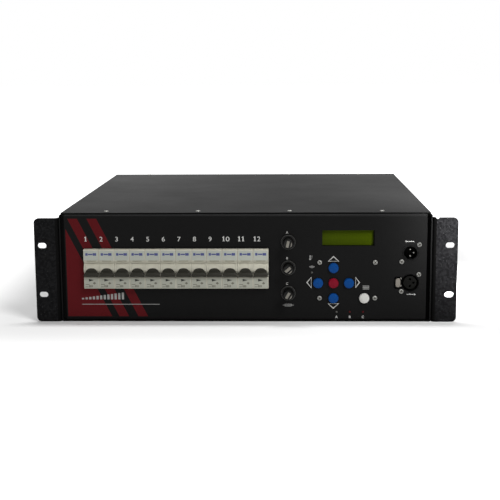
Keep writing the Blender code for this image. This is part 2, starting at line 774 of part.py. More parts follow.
def front_panel():
    pan = folded_pan(PANEL_WIDTH, SEAT_Z, TRAY_TOP_Z, 0, 1)
    panel = add("front_panel", pan, COAT)
    add_wall(panel, PANEL_SHEET)
    span = (-PANEL_SHEET, 2 * PANEL_SHEET)
    window = centred_rectangle(
        (BREAKER_ROW_X, BREAKER_ROW_Z), ROW_WIDTH + 2 * WINDOW_GAP, NOSE_HEIGHT + 2 * WINDOW_GAP
    )
    screen = centred_rectangle(
        (DISPLAY_X, DISPLAY_Z), DISPLAY_OPENING_WIDTH, DISPLAY_OPENING_HEIGHT
    )
    holes = [
        prism([rounded(window, WINDOW_CORNER)], "Y", *span),
        prism([rounded(screen, DISPLAY_CORNER)], "Y", *span),
    ]
    for place in key_places().values():
        holes.append(rod(KEY_RADIUS + RUNNING_GAP, "Y", *span, centre=place))
    for place in fuse_places().values():
        holes.append(rod(FUSE_BARREL_RADIUS + SEAT_GAP, "Y", *span, centre=place))
    cup_radius = SIGNAL_PLUG_RADIUS + SIGNAL_CUP_WALL
    holes.append(rod(cup_radius + SEAT_GAP, "Y", *span, centre=(SIGNAL_X, SIGNAL_IN_Z)))
    cut(panel, merged(holes), "openings")
    link_hole = rod(LINK_SHELL_RADIUS + SEAT_GAP, "Y", *span, centre=(SIGNAL_X, SIGNAL_LINK_Z))
    cut(panel, link_hole, "link_opening")
    latch_hole = centred_rectangle(
        (LATCH_X, SIGNAL_LINK_Z),
        LATCH_WIDTH + 2 * LATCH_WINDOW_MARGIN,
        LATCH_HEIGHT + 2 * LATCH_WINDOW_MARGIN,
    )
    cut(panel, prism([rounded(latch_hole, LATCH_CORNER)], "Y", *span), "latch_opening")


def rear_panel():
    pan = folded_pan(PANEL_WIDTH, SEAT_Z, TRAY_TOP_Z, CASE_DEPTH, -1)
    panel = add("rear_panel", pan, COAT)
    add_wall(panel, PANEL_SHEET)
    span = (CASE_DEPTH - 2 * PANEL_SHEET, CASE_DEPTH + PANEL_SHEET)
    holes = [rod(GLAND_THREAD_RADIUS + SEAT_GAP, "Y", *span, centre=(GLAND_X, GLAND_Z))]
    for fan_x in FAN_PLACES.values():
        centre = (fan_x, FAN_Z)
        holes.append(rod(FAN_BORE_RADIUS, "Y", *span, centre, LARGE_ROUND_SEGMENTS))
    for socket_x in OUTPUT_PLACES.values():
        holes.append(rod(OUTPUT_BODY_RADIUS + SEAT_GAP, "Y", *span, (socket_x, OUTPUT_Z)))
    cut(panel, merged(holes), "openings")


def rack_ear(name, side):
    """An angle bracket: its flange lies on the case's side and its plate faces forward.

    The right one has a relief at the top of its bend.
    """
    inner_x = side * (CASE_WIDTH / 2 + SEAT_GAP)
    outer_x = side * EAR_OUTER_X
    path = [(inner_x, EAR_FLANGE), (inner_x, 0), (outer_x + side * EAR_SHEET, 0)]
    if side < 0:
        path.reverse()
    section = sheet_outline(path, EAR_SHEET, EAR_BEND)
    ear = add(name, prism([section], "Z", EAR_LOW_Z - EAR_SHEET, EAR_HIGH_Z + EAR_SHEET), EAR_COAT)
    past_flange_x = inner_x - side * 2 * EAR_CORNER
    left_x, right_x = sorted((past_flange_x, outer_x))
    plan = rectangle((left_x, EAR_LOW_Z), (right_x, EAR_HIGH_Z))
    slot_x = outer_x - side * EAR_HOLE_INSET
    middle_z = (EAR_LOW_Z + EAR_HIGH_Z) / 2
    slots = [
        oblong((slot_x, middle_z + rise / 2), EAR_SLOT_LENGTH, EAR_SLOT_WIDTH)
        for rise in (-EAR_HOLE_RISE, EAR_HOLE_RISE)
    ]
    blank = prism([rounded(plan, EAR_CORNER), *slots], "Y", -EAR_SHEET, EAR_FLANGE + EAR_SHEET)
    combine(ear, blank, "INTERSECT", "outline_and_slots")
    if side > 0:
        notch_place = (inner_x + EAR_NOTCH_INSET, EAR_HIGH_Z)
        notch = rod(
            EAR_NOTCH, "Y", -EAR_SHEET, EAR_NOTCH_INSET + EAR_SHEET, notch_place, SMALL_ROUND_SEGMENTS
        )
        cut(ear, notch, "bend_relief")


# Breakers


def breaker_x(index):
    return BREAKER_ROW_X + (index - (BREAKER_COUNT - 1) / 2) * BREAKER_PITCH


def breaker_section():
    """The body's side view: a nose through the panel, shoulders behind it, and the rail's notch."""
    nose = NOSE_HEIGHT / 2
    body = BREAKER_HEIGHT / 2
    grip = RAIL_HEIGHT / 2 + SEAT_GAP
    seat_y = RAIL_Y - SEAT_GAP
    back_y = RAIL_Y + RAIL_GRIP
    half = [(SHOULDER_Y, nose), (SHOULDER_Y, body), (back_y, body), (back_y, grip), (seat_y, grip)]
    tip = rounded([(0, nose), (-NOSE_PROUD, nose), (-NOSE_PROUD, 0)], NOSE_ROUND, closed=False)
    upper = [tuple(point) for point in tip[-2:0:-1]] + half
    lower = [(y, -z) for y, z in reversed(upper)]
    return upper + lower


def swing_room(inner_radius, half_width):
    """The sector that the lever sweeps, from an inner radius out past the nose."""
    low = math.pi - SWING_HALF_ANGLE
    high = math.pi + SWING_HALF_ANGLE
    outline = arc(SWING_REACH, low, high, SWEEP_STEPS) + arc(inner_radius, high, low, SWEEP_STEPS)
    mesh = prism([outline], "X", -half_width, half_width)
    return moved(mesh, (0, TOGGLE_PIVOT_Y, 0))


def breaker_bodies():
    names_and_places = [
        (f"breaker_body_{index + 1:02d}", (breaker_x(index), 0, BREAKER_ROW_Z))
        for index in range(BREAKER_COUNT)
    ]
    (first_name, first_place), *others = names_and_places
    mesh = prism([breaker_section()], "X", -BREAKER_WIDTH / 2, BREAKER_WIDTH / 2)
    first = add(first_name, mesh, GREY_MOULDING, first_place)
    cut(first, swing_room(RIB_RADIUS, BREAKER_WIDTH), "bar_swing")
    pocket_half = DRUM_WIDTH / 2 + RUNNING_GAP
    cut(first, swing_room(DRUM_RADIUS / 2, pocket_half), "neck_swing")
    pocket = rod(POCKET_RADIUS, "X", -pocket_half, pocket_half, (TOGGLE_PIVOT_Y, 0))
    cut(first, pocket, "drum_pocket")
    copies(first, others)


def lever_outline():
    """The lever seen square on, from the drum's middle to its tip, with a wider bar at the tip."""
    neck = LEVER_NECK_WIDTH / 2
    bar = LEVER_BAR_WIDTH / 2
    right = [(neck, -DRUM_RADIUS / 2), (neck, -LEVER_FLARE_START), (bar, -LEVER_FLARE_END)]
    tip = rounded(
        [(bar, -LEVER_FLARE_END), (bar, -LEVER_TIP), (0, -LEVER_TIP)], LEVER_CORNER, closed=False
    )
    half = right + [tuple(point) for point in tip[1:-1]]
    return half + [(-x, y) for x, y in reversed(half)]


def breaker_toggles():
    """Each toggle's origin is on its hinge axis, and its lever rests down."""
    names_and_places = [
        (f"breaker_toggle_{index + 1:02d}", (breaker_x(index), TOGGLE_PIVOT_Y, BREAKER_ROW_Z))
        for index in range(BREAKER_COUNT)
    ]
    (first_name, first_place), *others = names_and_places
    drum = rod(DRUM_RADIUS, "X", -DRUM_WIDTH / 2, DRUM_WIDTH / 2)
    first = add(first_name, drum, BLACK_TOGGLE, first_place)
    lever = prism([lever_outline()], "Z", -LEVER_THICKNESS / 2, LEVER_THICKNESS / 2)
    lever.transform(Matrix.Rotation(TOGGLE_DROP, 4, "X"))
    join(first, lever, "lever")
    copies(first, others)


def din_rail():
    """A top-hat rail whose two lips face the breakers."""
    lip = RAIL_HEIGHT / 2
    crown = RAIL_CROWN / 2
    back_y = RAIL_Y + RAIL_DEPTH
    upper = [
        (RAIL_Y, lip),
        (RAIL_Y + RAIL_SHEET, lip),
        (RAIL_Y + RAIL_SHEET, crown),
        (back_y, crown),
    ]
    inner = [
        (back_y - RAIL_SHEET, crown - RAIL_SHEET),
        (RAIL_Y, crown - RAIL_SHEET),
    ]
    outline = upper + [(y, -z) for y, z in reversed(upper)]
    outline += [(y, -z) for y, z in reversed(inner)] + inner
    half = ROW_WIDTH / 2 + RAIL_OVERHANG
    mesh = prism([outline], "X", -half, half)
    add("din_rail", mesh, ZINC, (BREAKER_ROW_X, 0, BREAKER_ROW_Z))


# Fuses


def fuse_places():
    return {
        letter: (FUSE_X, FUSE_TOP_Z - row * FUSE_PITCH)
        for row, letter in enumerate(FUSE_SLOT_ANGLES)
    }


def fuse_holder(letter, place):
    """A flanged barrel with a blind bore for the cap; heights count forward from the panel."""
    profile = [
        (0, -FUSE_BORE_DEPTH),
        (FUSE_BORE_RADIUS, -FUSE_BORE_DEPTH),
        (FUSE_BORE_RADIUS, FUSE_FLANGE_PROUD),
        (FUSE_FLANGE_RADIUS - FUSE_FLANGE_EDGE, FUSE_FLANGE_PROUD),
        (FUSE_FLANGE_RADIUS, FUSE_FLANGE_PROUD - FUSE_FLANGE_EDGE),
        (FUSE_FLANGE_RADIUS, SEAT_GAP),
        (FUSE_BARREL_RADIUS, SEAT_GAP),
        (FUSE_BARREL_RADIUS, -FUSE_BARREL_LENGTH),
        (0, -FUSE_BARREL_LENGTH),
    ]
    mesh = turned(profile, FORWARD)
    add(f"fuse_holder_{letter}", mesh, BLACK_MOULDING, (place[0], 0, place[1]))


def fuse_cap(letter, place, slot_angle):
    """A slotted knob in the holder's bore, with its origin on the axis that it turns about."""
    radius = FUSE_BORE_RADIUS - RUNNING_GAP
    end_radius = radius - FUSE_CAP_TAPER
    profile = [
        (0, FUSE_CAP_PROUD),
        (end_radius - FUSE_CAP_DOME, FUSE_CAP_PROUD),
        (end_radius, FUSE_CAP_PROUD - FUSE_CAP_DOME),
        (radius, FUSE_FLANGE_PROUD),
        (radius, RUNNING_GAP - FUSE_BORE_DEPTH),
        (0, RUNNING_GAP - FUSE_BORE_DEPTH),
    ]
    mesh = turned(profile, FORWARD)
    cap = add(f"fuse_cap_{letter}", mesh, BLACK_MOULDING, (place[0], 0, place[1]))
    slot = box(
        (-FUSE_SLOT_LENGTH / 2, -2 * FUSE_CAP_PROUD, -FUSE_SLOT_WIDTH / 2),
        (FUSE_SLOT_LENGTH / 2, FUSE_SLOT_DEPTH - FUSE_CAP_PROUD, FUSE_SLOT_WIDTH / 2),
    )
    slot.transform(Matrix.Rotation(-slot_angle, 4, "Y"))
    cut(cap, slot, "screwdriver_slot")


# Control panel


def key_places():
    steps = {"up": (0, 1), "left": (-1, 0), "enter": (0, 0), "right": (1, 0), "down": (0, -1)}
    steps["menu"] = MENU_KEY_STEPS
    return {
        name: (KEYPAD_X + across * KEY_PITCH, KEYPAD_Z + up * KEY_PITCH)
        for name, (across, up) in steps.items()
    }


def key_button(name, place, coat):
    """A domed cap with a skirt behind the panel and a stem that ends a travel off its switch."""
    skirt_front = -PANEL_BACK_Y
    stem_end = -(BOARD_Y - KEY_SWITCH_HEIGHT - KEY_TRAVEL - SEAT_GAP)
    profile = domed(0, KEY_RADIUS, KEY_PROUD, KEY_DOME) + [
        (KEY_RADIUS, skirt_front),
        (KEY_SKIRT_RADIUS, skirt_front),
        (KEY_SKIRT_RADIUS, skirt_front - KEY_SKIRT),
        (KEY_STEM_RADIUS, skirt_front - KEY_SKIRT),
        (KEY_STEM_RADIUS, stem_end),
        (0, stem_end),
    ]
    mesh = turned(profile, FORWARD, KEY_SEGMENTS)
    add(f"button_{name}", mesh, coat, (place[0], 0, place[1]))


def display_module():
    half_x = DISPLAY_WIDTH / 2
    half_z = DISPLAY_HEIGHT / 2
    back_y = DISPLAY_FRONT_Y + DISPLAY_THICKNESS
    body = box((-half_x, DISPLAY_FRONT_Y, -half_z), (half_x, back_y, half_z))
    display = add("display_module", body, DISPLAY_GREEN, (DISPLAY_X, 0, DISPLAY_Z))
    glass = box(
        (DISPLAY_BEZEL - half_x, 0, DISPLAY_BEZEL - half_z),
        (half_x - DISPLAY_BEZEL, DISPLAY_FRONT_Y + DISPLAY_GLASS_INSET, half_z - DISPLAY_BEZEL),
    )
    cut(display, glass, "window")


def control_board():
    """The board behind the keypad, with its key switches and the standoffs to the panel."""
    back_y = BOARD_Y + BOARD_SHEET
    base = box(
        (BOARD_LEFT_X, BOARD_Y, BOARD_LOW_Z),
        (BOARD_LEFT_X + BOARD_WIDTH, back_y, CASE_HEIGHT - BOARD_BELOW_TOP),
    )
    board = add("control_board", base, BOARD_GREEN)
    overlap_y = BOARD_Y + BOARD_SHEET / 2
    parts = []
    for place_x, place_z in key_places().values():
        half = KEY_SWITCH_SIZE / 2
        parts.append(
            box(
                (place_x - half, BOARD_Y - KEY_SWITCH_HEIGHT, place_z - half),
                (place_x + half, overlap_y, place_z + half),
            )
        )
    for side in (-1, 1):
        for level in (-1, 1):
            place = (
                BOARD_SCREW_X + side * BOARD_SCREW_SPAN / 2,
                BOARD_SCREW_Z + level * BOARD_SCREW_RISE / 2,
            )
            parts.append(
                rod(STANDOFF_RADIUS, "Y", PANEL_BACK_Y, overlap_y, place, SMALL_ROUND_SEGMENTS)
            )
    join(board, merged(parts), "switches_and_standoffs")


# Signal sockets


def contact_places():
    """The three contacts, at the top, at the right and at the bottom."""
    return [(0, CONTACT_CIRCLE), (CONTACT_CIRCLE, 0), (0, -CONTACT_CIRCLE)]


def signal_in():
    """The inlet: a cup with three pins, fixed by a flange behind the panel."""
    outer = SIGNAL_PLUG_RADIUS + SIGNAL_CUP_WALL
    profile = [
        (0, -SIGNAL_CUP_DEPTH),
        (SIGNAL_PLUG_RADIUS, -SIGNAL_CUP_DEPTH),
        (SIGNAL_PLUG_RADIUS, 0),
        (outer, 0),
        (outer, -SIGNAL_BODY_DEPTH),
        (0, -SIGNAL_BODY_DEPTH),
    ]
    place = (SIGNAL_X, 0, SIGNAL_IN_Z)
    inlet = add("signal_inlet", turned(profile, FORWARD), BLACK_MOULDING, place)
    square = centred_rectangle((0, 0), SIGNAL_FLANGE, SIGNAL_FLANGE)
    bore = circle((0, 0), SIGNAL_PLUG_RADIUS + SIGNAL_CUP_WALL / 2)
    flange = prism([square, bore], "Y", PANEL_BACK_Y, PANEL_BACK_Y + SIGNAL_FLANGE_SHEET)
    join(inlet, flange, "flange")
    pin_span = (PIN_RECESS, SIGNAL_CUP_DEPTH + PIN_RADIUS)
    pins = [
        rod(PIN_RADIUS, "Y", *pin_span, place_xz, SMALL_ROUND_SEGMENTS)
        for place_xz in contact_places()
    ]
    join(inlet, merged(pins), "pins")


def signal_link():
    """The linking outlet: an insert with three contacts in a shell, and a housing for its latch."""
    profile = [
        (0, -LINK_INSERT_RECESS),
        (LINK_INSERT_RADIUS, -LINK_INSERT_RECESS),
        (LINK_INSERT_RADIUS, -SIGNAL_CUP_DEPTH),
        (LINK_OPENING_RADIUS, -SIGNAL_CUP_DEPTH),
        (LINK_OPENING_RADIUS, 0),
        (LINK_SHELL_RADIUS, 0),
        (LINK_SHELL_RADIUS, -SIGNAL_BODY_DEPTH),
        (0, -SIGNAL_BODY_DEPTH),
    ]
    place = (SIGNAL_X, 0, SIGNAL_LINK_Z)
    link = add("signal_link", turned(profile, FORWARD), BLACK_MOULDING, place)
    half_width = LATCH_WIDTH / 2 + RUNNING_GAP
    half_height = LATCH_HEIGHT / 2 + RUNNING_GAP
    half = SIGNAL_FLANGE / 2
    pocket_y = LATCH_DEPTH - LATCH_PROUD + LATCH_TRAVEL + RUNNING_GAP
    housing_y = pocket_y + LATCH_HOUSING_MARGIN
    outline = rectangle((-LATCH_HOUSING_REACH, -half), (half, half))
    bore = circle((0, 0), LINK_OPENING_RADIUS + LINK_SHELL_WALL / 2)
    join(link, prism([outline, bore], "Y", PANEL_BACK_Y, housing_y), "latch_housing")
    pocket = box(
        (-LATCH_OFFSET - half_width, 0, -half_height), (half_width - LATCH_OFFSET, pocket_y, half_height)
    )
    cut(link, pocket, "latch_pocket")
    contacts = [
        rod(CONTACT_RADIUS, "Y", -CONTACT_DEPTH, CONTACT_DEPTH, place_xz, SMALL_ROUND_SEGMENTS)
        for place_xz in contact_places()
    ]
    cut(link, merged(contacts), "contact_holes")


def link_latch():
    outline = rounded(centred_rectangle((0, 0), LATCH_WIDTH, LATCH_HEIGHT), LATCH_CORNER)
    mesh = prism([outline], "Y", -LATCH_PROUD, LATCH_DEPTH - LATCH_PROUD)
    add("link_latch", mesh, NICKEL, (LATCH_X, 0, SIGNAL_LINK_Z))


# Power stage


def heat_sink():
    """A comb of fins under a thick base, on two outer legs that reach the tray."""
    half = SINK_WIDTH / 2
    last = SINK_FIN_COUNT - 1
    pitch = (SINK_WIDTH - SINK_FIN) / last
    under = SINK_TOP_Z - SINK_BASE
    outline = []
    for index in range(SINK_FIN_COUNT):
        left = index * pitch - half
        right = left + SINK_FIN
        foot = SEAT_Z if index in (0, last) else SINK_FIN_FOOT_Z
        outline += [(left, under), (left, foot), (right, foot), (right, under)]
    outline[0] = (-half, SINK_TOP_Z)
    outline[-1] = (half, SINK_TOP_Z)
    mesh = prism([outline], "Y", 0, SINK_LENGTH)
    add("heat_sink", mesh, ALUMINIUM, (SINK_X, SINK_FIRST_Y, 0))


def power_board():
    """The driver board, which its row of power switches holds off the heat sink."""
    half = SINK_WIDTH / 2 - POWER_BOARD_MARGIN
    seat = SINK_TOP_Z + SEAT_GAP
    under = seat + TRIAC_SIZE[2]
    top = under + POWER_BOARD_SHEET
    base = box((-half, POWER_BOARD_MARGIN, under), (half, SINK_LENGTH - POWER_BOARD_MARGIN, top))
    board = add("power_board", base, BOARD_GREEN, (SINK_X, SINK_FIRST_Y, 0))
    switches = []
    for index in range(TRIAC_COUNT):
        middle = (index - (TRIAC_COUNT - 1) / 2) * TRIAC_PITCH
        switches.append(
            box(
                (middle - TRIAC_SIZE[0] / 2, TRIAC_ROW_Y, seat),
                (middle + TRIAC_SIZE[0] / 2, TRIAC_ROW_Y + TRIAC_SIZE[1], (under + top) / 2),
            )
        )
    join(board, merged(switches), "power_switches")


def choke_bank():
    """One suppression choke for each channel, bolted flat to a common plate."""
    far_x = CHOKE_PLATE_WIDTH - CHOKE_PLATE_MARGIN
    far_y = CHOKE_PLATE_LENGTH - CHOKE_PLATE_MARGIN
    plate = box(
        (-CHOKE_PLATE_MARGIN, -CHOKE_PLATE_MARGIN, SEAT_Z), (far_x, far_y, SEAT_Z + CHOKE_PLATE)
    )
    bank = add("choke_bank", plate, COPPER, (CHOKE_FIRST_X, CHOKE_FIRST_Y, 0))
    rings = []
    bolts = []
    ring_z = SEAT_Z + CHOKE_PLATE + CHOKE_WINDING_RADIUS - CHOKE_POTTING
    bolt_span = (SEAT_Z + CHOKE_PLATE / 2, ring_z + CHOKE_WINDING_RADIUS)
    for column in range(CHOKE_COLUMNS):
        for row in range(CHOKE_ROWS):
            place = (column * CHOKE_PITCH, row * CHOKE_PITCH)
            rings.append(wound_ring((*place, ring_z)))
            bolts.append(rod(CHOKE_BOLT_RADIUS, "Z", *bolt_span, place, HEX_SIDES))
    join(bank, merged(rings), "windings")
    join(bank, merged(bolts), "bolts")


def wound_ring(place):
    """A choke's ring with its winding, lying flat."""
    shape = bmesh.new()
    bmesh.ops.create_circle(shape, segments=CHOKE_WINDING_SIDES, radius=CHOKE_WINDING_RADIUS)
    upright = Matrix.Rotation(math.radians(90), 4, "X")
    outward = Matrix.Translation((CHOKE_RING_RADIUS, 0, 0))
    bmesh.ops.transform(shape, matrix=outward @ upright, verts=shape.verts)
    bmesh.ops.spin(
        shape,
        geom=shape.verts[:] + shape.edges[:],
        cent=(0, 0, 0),
        axis=(0, 0, 1),
        angle=2 * math.pi,
        steps=CHOKE_RING_SIDES,
        use_merge=True,
    )
    bmesh.ops.remove_doubles(shape, verts=shape.verts, dist=AXIS_MERGE)
    bmesh.ops.translate(shape, vec=place, verts=shape.verts)
    return mesh_from_bmesh(shape, "ring")


def standing_box(size, low_z):
    """A box centred on the piece's own upright axis."""
    half_x, half_y = size[0] / 2, size[1] / 2
    return box((-half_x, -half_y, low_z), (half_x, half_y, low_z + size[2]))


def control_transformer():
    """The control supply's transformer: foot, core and a coil that stands out on both sides."""
    foot = standing_box(TRANSFORMER_FOOT, SEAT_Z)
    place = (SINK_X - TRANSFORMER_LEFT_OF_SINK, TRANSFORMER_Y, 0)
    piece = add("control_transformer", foot, CORE_STEEL, place)
    core_z = SEAT_Z + TRANSFORMER_FOOT[2] / 2
    join(piece, standing_box(TRANSFORMER_CORE, core_z), "core")
    coil_z = core_z + (TRANSFORMER_CORE[2] - TRANSFORMER_COIL[2]) / 2
    join(piece, standing_box(TRANSFORMER_COIL, coil_z), "coil")


def mains_terminal():
    width = TERMINAL_POLES * TERMINAL_PITCH
    body = box(
        (-width / 2, -TERMINAL_DEPTH / 2, SEAT_Z), (width / 2, TERMINAL_DEPTH / 2, TERMINAL_HEIGHT)
    )
    terminal = add("mains_terminal", body, TERMINAL_GREY, (CHOKE_FIRST_X, TERMINAL_Y, 0))
    wells = []
    well_span = (TERMINAL_HEIGHT - TERMINAL_WELL_DEPTH, TERMINAL_HEIGHT + TERMINAL_WELL_DEPTH)
    for index in range(TERMINAL_POLES):
        middle = (index - (TERMINAL_POLES - 1) / 2) * TERMINAL_PITCH
        for side in (-1, 1):
            place = (middle, side * TERMINAL_DEPTH / 4)
            wells.append(rod(TERMINAL_WELL_RADIUS, "Z", *well_span, place, SMALL_ROUND_SEGMENTS))
    cut(terminal, merged(wells), "screw_wells")


# Fans


def fan_frame(name, fan_x):
    """A square frame round a bore, with a hub on four struts at its rear."""
    back_y = REAR_BACK_Y
    square = rounded(centred_rectangle((0, 0), FAN_SIZE, FAN_SIZE), FAN_CORNER)
    half_span = FAN_HOLE_SPAN / 2
    holes = [
        circle((side * half_span, level * half_span), FAN_HOLE_RADIUS, SMALL_ROUND_SEGMENTS)
        for side in (-1, 1)
        for level in (-1, 1)
    ]
    outlines = [square, circle((0, 0), FAN_BORE_RADIUS, LARGE_ROUND_SEGMENTS), *holes]
    frame = add(name, prism(outlines, "Y", FAN_FRONT_Y, back_y), BLACK_MOULDING, (fan_x, 0, FAN_Z))
    spider_y = back_y - FAN_SPIDER
    strut_back_y = back_y - FAN_SPIDER_STEP
    reach = FAN_BORE_RADIUS + FAN_STRUT_ROOT
    half_strut = FAN_STRUT_WIDTH / 2
    across = box((-reach, spider_y, -half_strut), (reach, strut_back_y, half_strut))
    upright = box((-half_strut, spider_y, -reach), (half_strut, strut_back_y, reach))
    hub = rod(FAN_SPIDER_RADIUS, "Y", hub_face_y(), strut_back_y - FAN_SPIDER_STEP)
    join(frame, across, "struts_across")
    join(frame, upright, "struts_upright")
    join(frame, hub, "hub")
    hole_radius = AXLE_RADIUS + RUNNING_GAP
    axle_hole = rod(hole_radius, "Y", spider_y - AXLE_LENGTH, REAR_FACE_Y, (0, 0), SMALL_ROUND_SEGMENTS)
    cut(frame, axle_hole, "axle_hole")


def hub_face_y():
    """The front of the hub that carries the rotor's axle."""
    return REAR_BACK_Y - FAN_SPIDER - FAN_SPIDER_STEP


def fan_rotors():
    """Each rotor's origin is on its axle; blades lie pitched round the hub."""
    hub_back = hub_face_y() - RUNNING_GAP
    hub_front = FAN_FRONT_Y + ROTOR_SETBACK
    middle_y = (hub_back + hub_front) / 2
    hub = rod(ROTOR_HUB_RADIUS, "Y", hub_front, hub_back)
    (first_name, first_x), *others = [(f"fan_rotor_{side}", x) for side, x in FAN_PLACES.items()]
    rotor = add(first_name, hub, BLACK_MOULDING, (first_x, 0, FAN_Z))
    root = ROTOR_HUB_RADIUS - ROTOR_BLADE_ROOT
    half_chord = ROTOR_BLADE_CHORD / 2
    half_sheet = ROTOR_BLADE_SHEET / 2
    blades = []
    for index in range(ROTOR_BLADES):
        blade = box((root, -half_sheet, -half_chord), (ROTOR_TIP_RADIUS, half_sheet, half_chord))
        blade.transform(Matrix.Rotation(ROTOR_BLADE_PITCH, 4, "X"))
        blade.transform(Matrix.Rotation(2 * math.pi * index / ROTOR_BLADES, 4, "Y"))
        blades.append(moved(blade, (0, middle_y, 0)))
    join(rotor, merged(blades), "blades")
    axle_span = (hub_back - AXLE_LENGTH, hub_back + AXLE_LENGTH)
    join(rotor, rod(AXLE_RADIUS, "Y", *axle_span, (0, 0), SMALL_ROUND_SEGMENTS), "axle")
    copies(rotor, [(name, (place_x, 0, FAN_Z)) for name, place_x in others])


# Rear connectors


def output_socket(name, socket_x):
    """A multi-pole outlet: square flange, shell open to the rear, insert and body."""
    inner = OUTPUT_SHELL_RADIUS - OUTPUT_SHELL_WALL
    profile = [
        (0, OUTPUT_INSERT_REACH),
        (inner, OUTPUT_INSERT_REACH),
        (inner, OUTPUT_SHELL_REACH),
        (OUTPUT_SHELL_RADIUS, OUTPUT_SHELL_REACH),
        (OUTPUT_SHELL_RADIUS, SEAT_GAP + OUTPUT_FLANGE_SHEET / 2),
        (OUTPUT_BODY_RADIUS, SEAT_GAP + OUTPUT_FLANGE_SHEET / 2),
        (OUTPUT_BODY_RADIUS, -OUTPUT_BODY_DEPTH),
        (0, -OUTPUT_BODY_DEPTH),
    ]
    place = (socket_x, CASE_DEPTH, OUTPUT_Z)
    socket = add(name, turned(profile, BACKWARD), BLACK_MOULDING, place)
    square = centred_rectangle((0, 0), OUTPUT_FLANGE, OUTPUT_FLANGE)
    bore = circle((0, 0), OUTPUT_BODY_RADIUS - OUTPUT_SHELL_WALL)
    outlines = [rounded(square, OUTPUT_FLANGE_CORNER), bore]
    flange = prism(outlines, "Y", SEAT_GAP, SEAT_GAP + OUTPUT_FLANGE_SHEET)
    join(socket, flange, "flange")


def cable_gland():
    """The mains cable's gland: thread through the panel, locknut, hexagon and domed nut."""
    dome_foot = SEAT_GAP + GLAND_HEX / 2
    profile = [(0, GLAND_REACH)]
    profile += domed(GLAND_MOUTH_RADIUS, GLAND_DOME_RADIUS, GLAND_REACH, GLAND_DOME_DROP)
    profile += [
        (GLAND_DOME_RADIUS, dome_foot),
        (GLAND_THREAD_RADIUS, dome_foot),
        (GLAND_THREAD_RADIUS, -GLAND_THREAD_DEPTH),
        (0, -GLAND_THREAD_DEPTH),
    ]
    place = (GLAND_X, CASE_DEPTH, GLAND_Z)
    gland = add("cable_gland", turned(profile, BACKWARD), BLACK_MOULDING, place)
    hexagon = rod(GLAND_HEX_RADIUS, "Y", SEAT_GAP, SEAT_GAP + GLAND_HEX, segments=HEX_SIDES)
    nut_back = -(PANEL_SHEET + SEAT_GAP)
    nut = rod(GLAND_HEX_RADIUS, "Y", nut_back - LOCKNUT, nut_back, segments=HEX_SIDES)
    join(gland, merged([hexagon, nut]), "hexagon_and_locknut")
    reach = 2 * GLAND_REACH
    cut(gland, rod(GLAND_BORE_RADIUS, "Y", -reach, reach), "cable_bore")


def even_shading():
    """Keeps flat faces flat where they meet bends and cut edges."""
    for piece in RACK.objects:
        if piece.type == "MESH":
            piece.modifiers.new("face_weighted_normals", "WEIGHTED_NORMAL")


def build_case():
    chassis_tray()
    top_cover()
    front_panel()
    rear_panel()
    rack_ear("rack_ear_left", -1)
    rack_ear("rack_ear_right", 1)


def build_front():
    breaker_bodies()
    breaker_toggles()
    din_rail()
    for letter, place in fuse_places().items():
        fuse_holder(letter, place)
        fuse_cap(letter, place, FUSE_SLOT_ANGLES[letter])
    coats = {"enter": RED_KEY, "menu": WHITE_KEY}
    for name, place in key_places().items():
        key_button(name, place, coats.get(name, BLUE_KEY))
    display_module()
    control_board()
    signal_in()
    signal_link()
    link_latch()


def build_inside():
    heat_sink()
    power_board()
    choke_bank()
    control_transformer()
    mains_terminal()


def build_rear():
    for side, fan_x in FAN_PLACES.items():
        fan_frame(f"fan_frame_{side}", fan_x)
    fan_rotors()
    for side, socket_x in OUTPUT_PLACES.items():
        output_socket(f"output_socket_{side}", socket_x)
    cable_gland()


build_case()
build_front()
build_inside()
build_rear()
even_shading()
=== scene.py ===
"""The looks of a rack-mounted twelve-channel stage dimmer, in metres.

X runs to the right, Y away from the front and Z up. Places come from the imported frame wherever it
has them, and colours are written as sRGB values from 0 to 255.
"""

import math

import bmesh
import bpy
from mathutils import Matrix, Vector


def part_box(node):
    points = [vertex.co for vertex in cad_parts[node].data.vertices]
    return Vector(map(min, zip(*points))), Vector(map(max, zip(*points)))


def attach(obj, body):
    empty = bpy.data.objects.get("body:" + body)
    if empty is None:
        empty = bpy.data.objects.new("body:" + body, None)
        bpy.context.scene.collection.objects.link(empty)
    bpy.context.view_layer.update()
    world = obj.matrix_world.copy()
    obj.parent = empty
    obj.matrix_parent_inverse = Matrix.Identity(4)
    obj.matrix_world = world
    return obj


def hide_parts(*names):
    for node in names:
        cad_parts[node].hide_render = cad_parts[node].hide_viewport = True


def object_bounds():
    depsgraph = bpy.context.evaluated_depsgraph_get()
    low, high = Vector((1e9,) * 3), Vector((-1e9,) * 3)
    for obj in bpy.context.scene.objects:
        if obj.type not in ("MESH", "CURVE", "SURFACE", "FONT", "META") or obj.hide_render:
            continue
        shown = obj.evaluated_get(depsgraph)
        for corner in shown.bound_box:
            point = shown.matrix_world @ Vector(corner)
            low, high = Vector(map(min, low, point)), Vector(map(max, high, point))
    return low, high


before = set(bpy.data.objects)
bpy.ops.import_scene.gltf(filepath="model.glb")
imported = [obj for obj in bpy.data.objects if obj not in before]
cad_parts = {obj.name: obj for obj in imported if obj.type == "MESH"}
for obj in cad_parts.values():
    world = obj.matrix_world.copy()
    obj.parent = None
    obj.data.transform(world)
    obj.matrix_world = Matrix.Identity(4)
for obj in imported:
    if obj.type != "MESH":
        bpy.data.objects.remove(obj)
cad_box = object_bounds()

FACE_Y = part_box("front_panel")[0].y
REAR_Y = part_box("rear_panel")[1].y
FULL_TURN = 2 * math.pi
QUARTER = math.pi / 2
BOTH = (-1, 1)
SIDES = ("left", "right")
WELD = 0.000001
SMOOTH_ANGLE = math.radians(32)
SOFT_ANGLE = math.radians(30)
ROUND = 48
SEAT = 0.0001


# Shapes


def middle(node):
    low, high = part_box(node)
    return (low + high) / 2


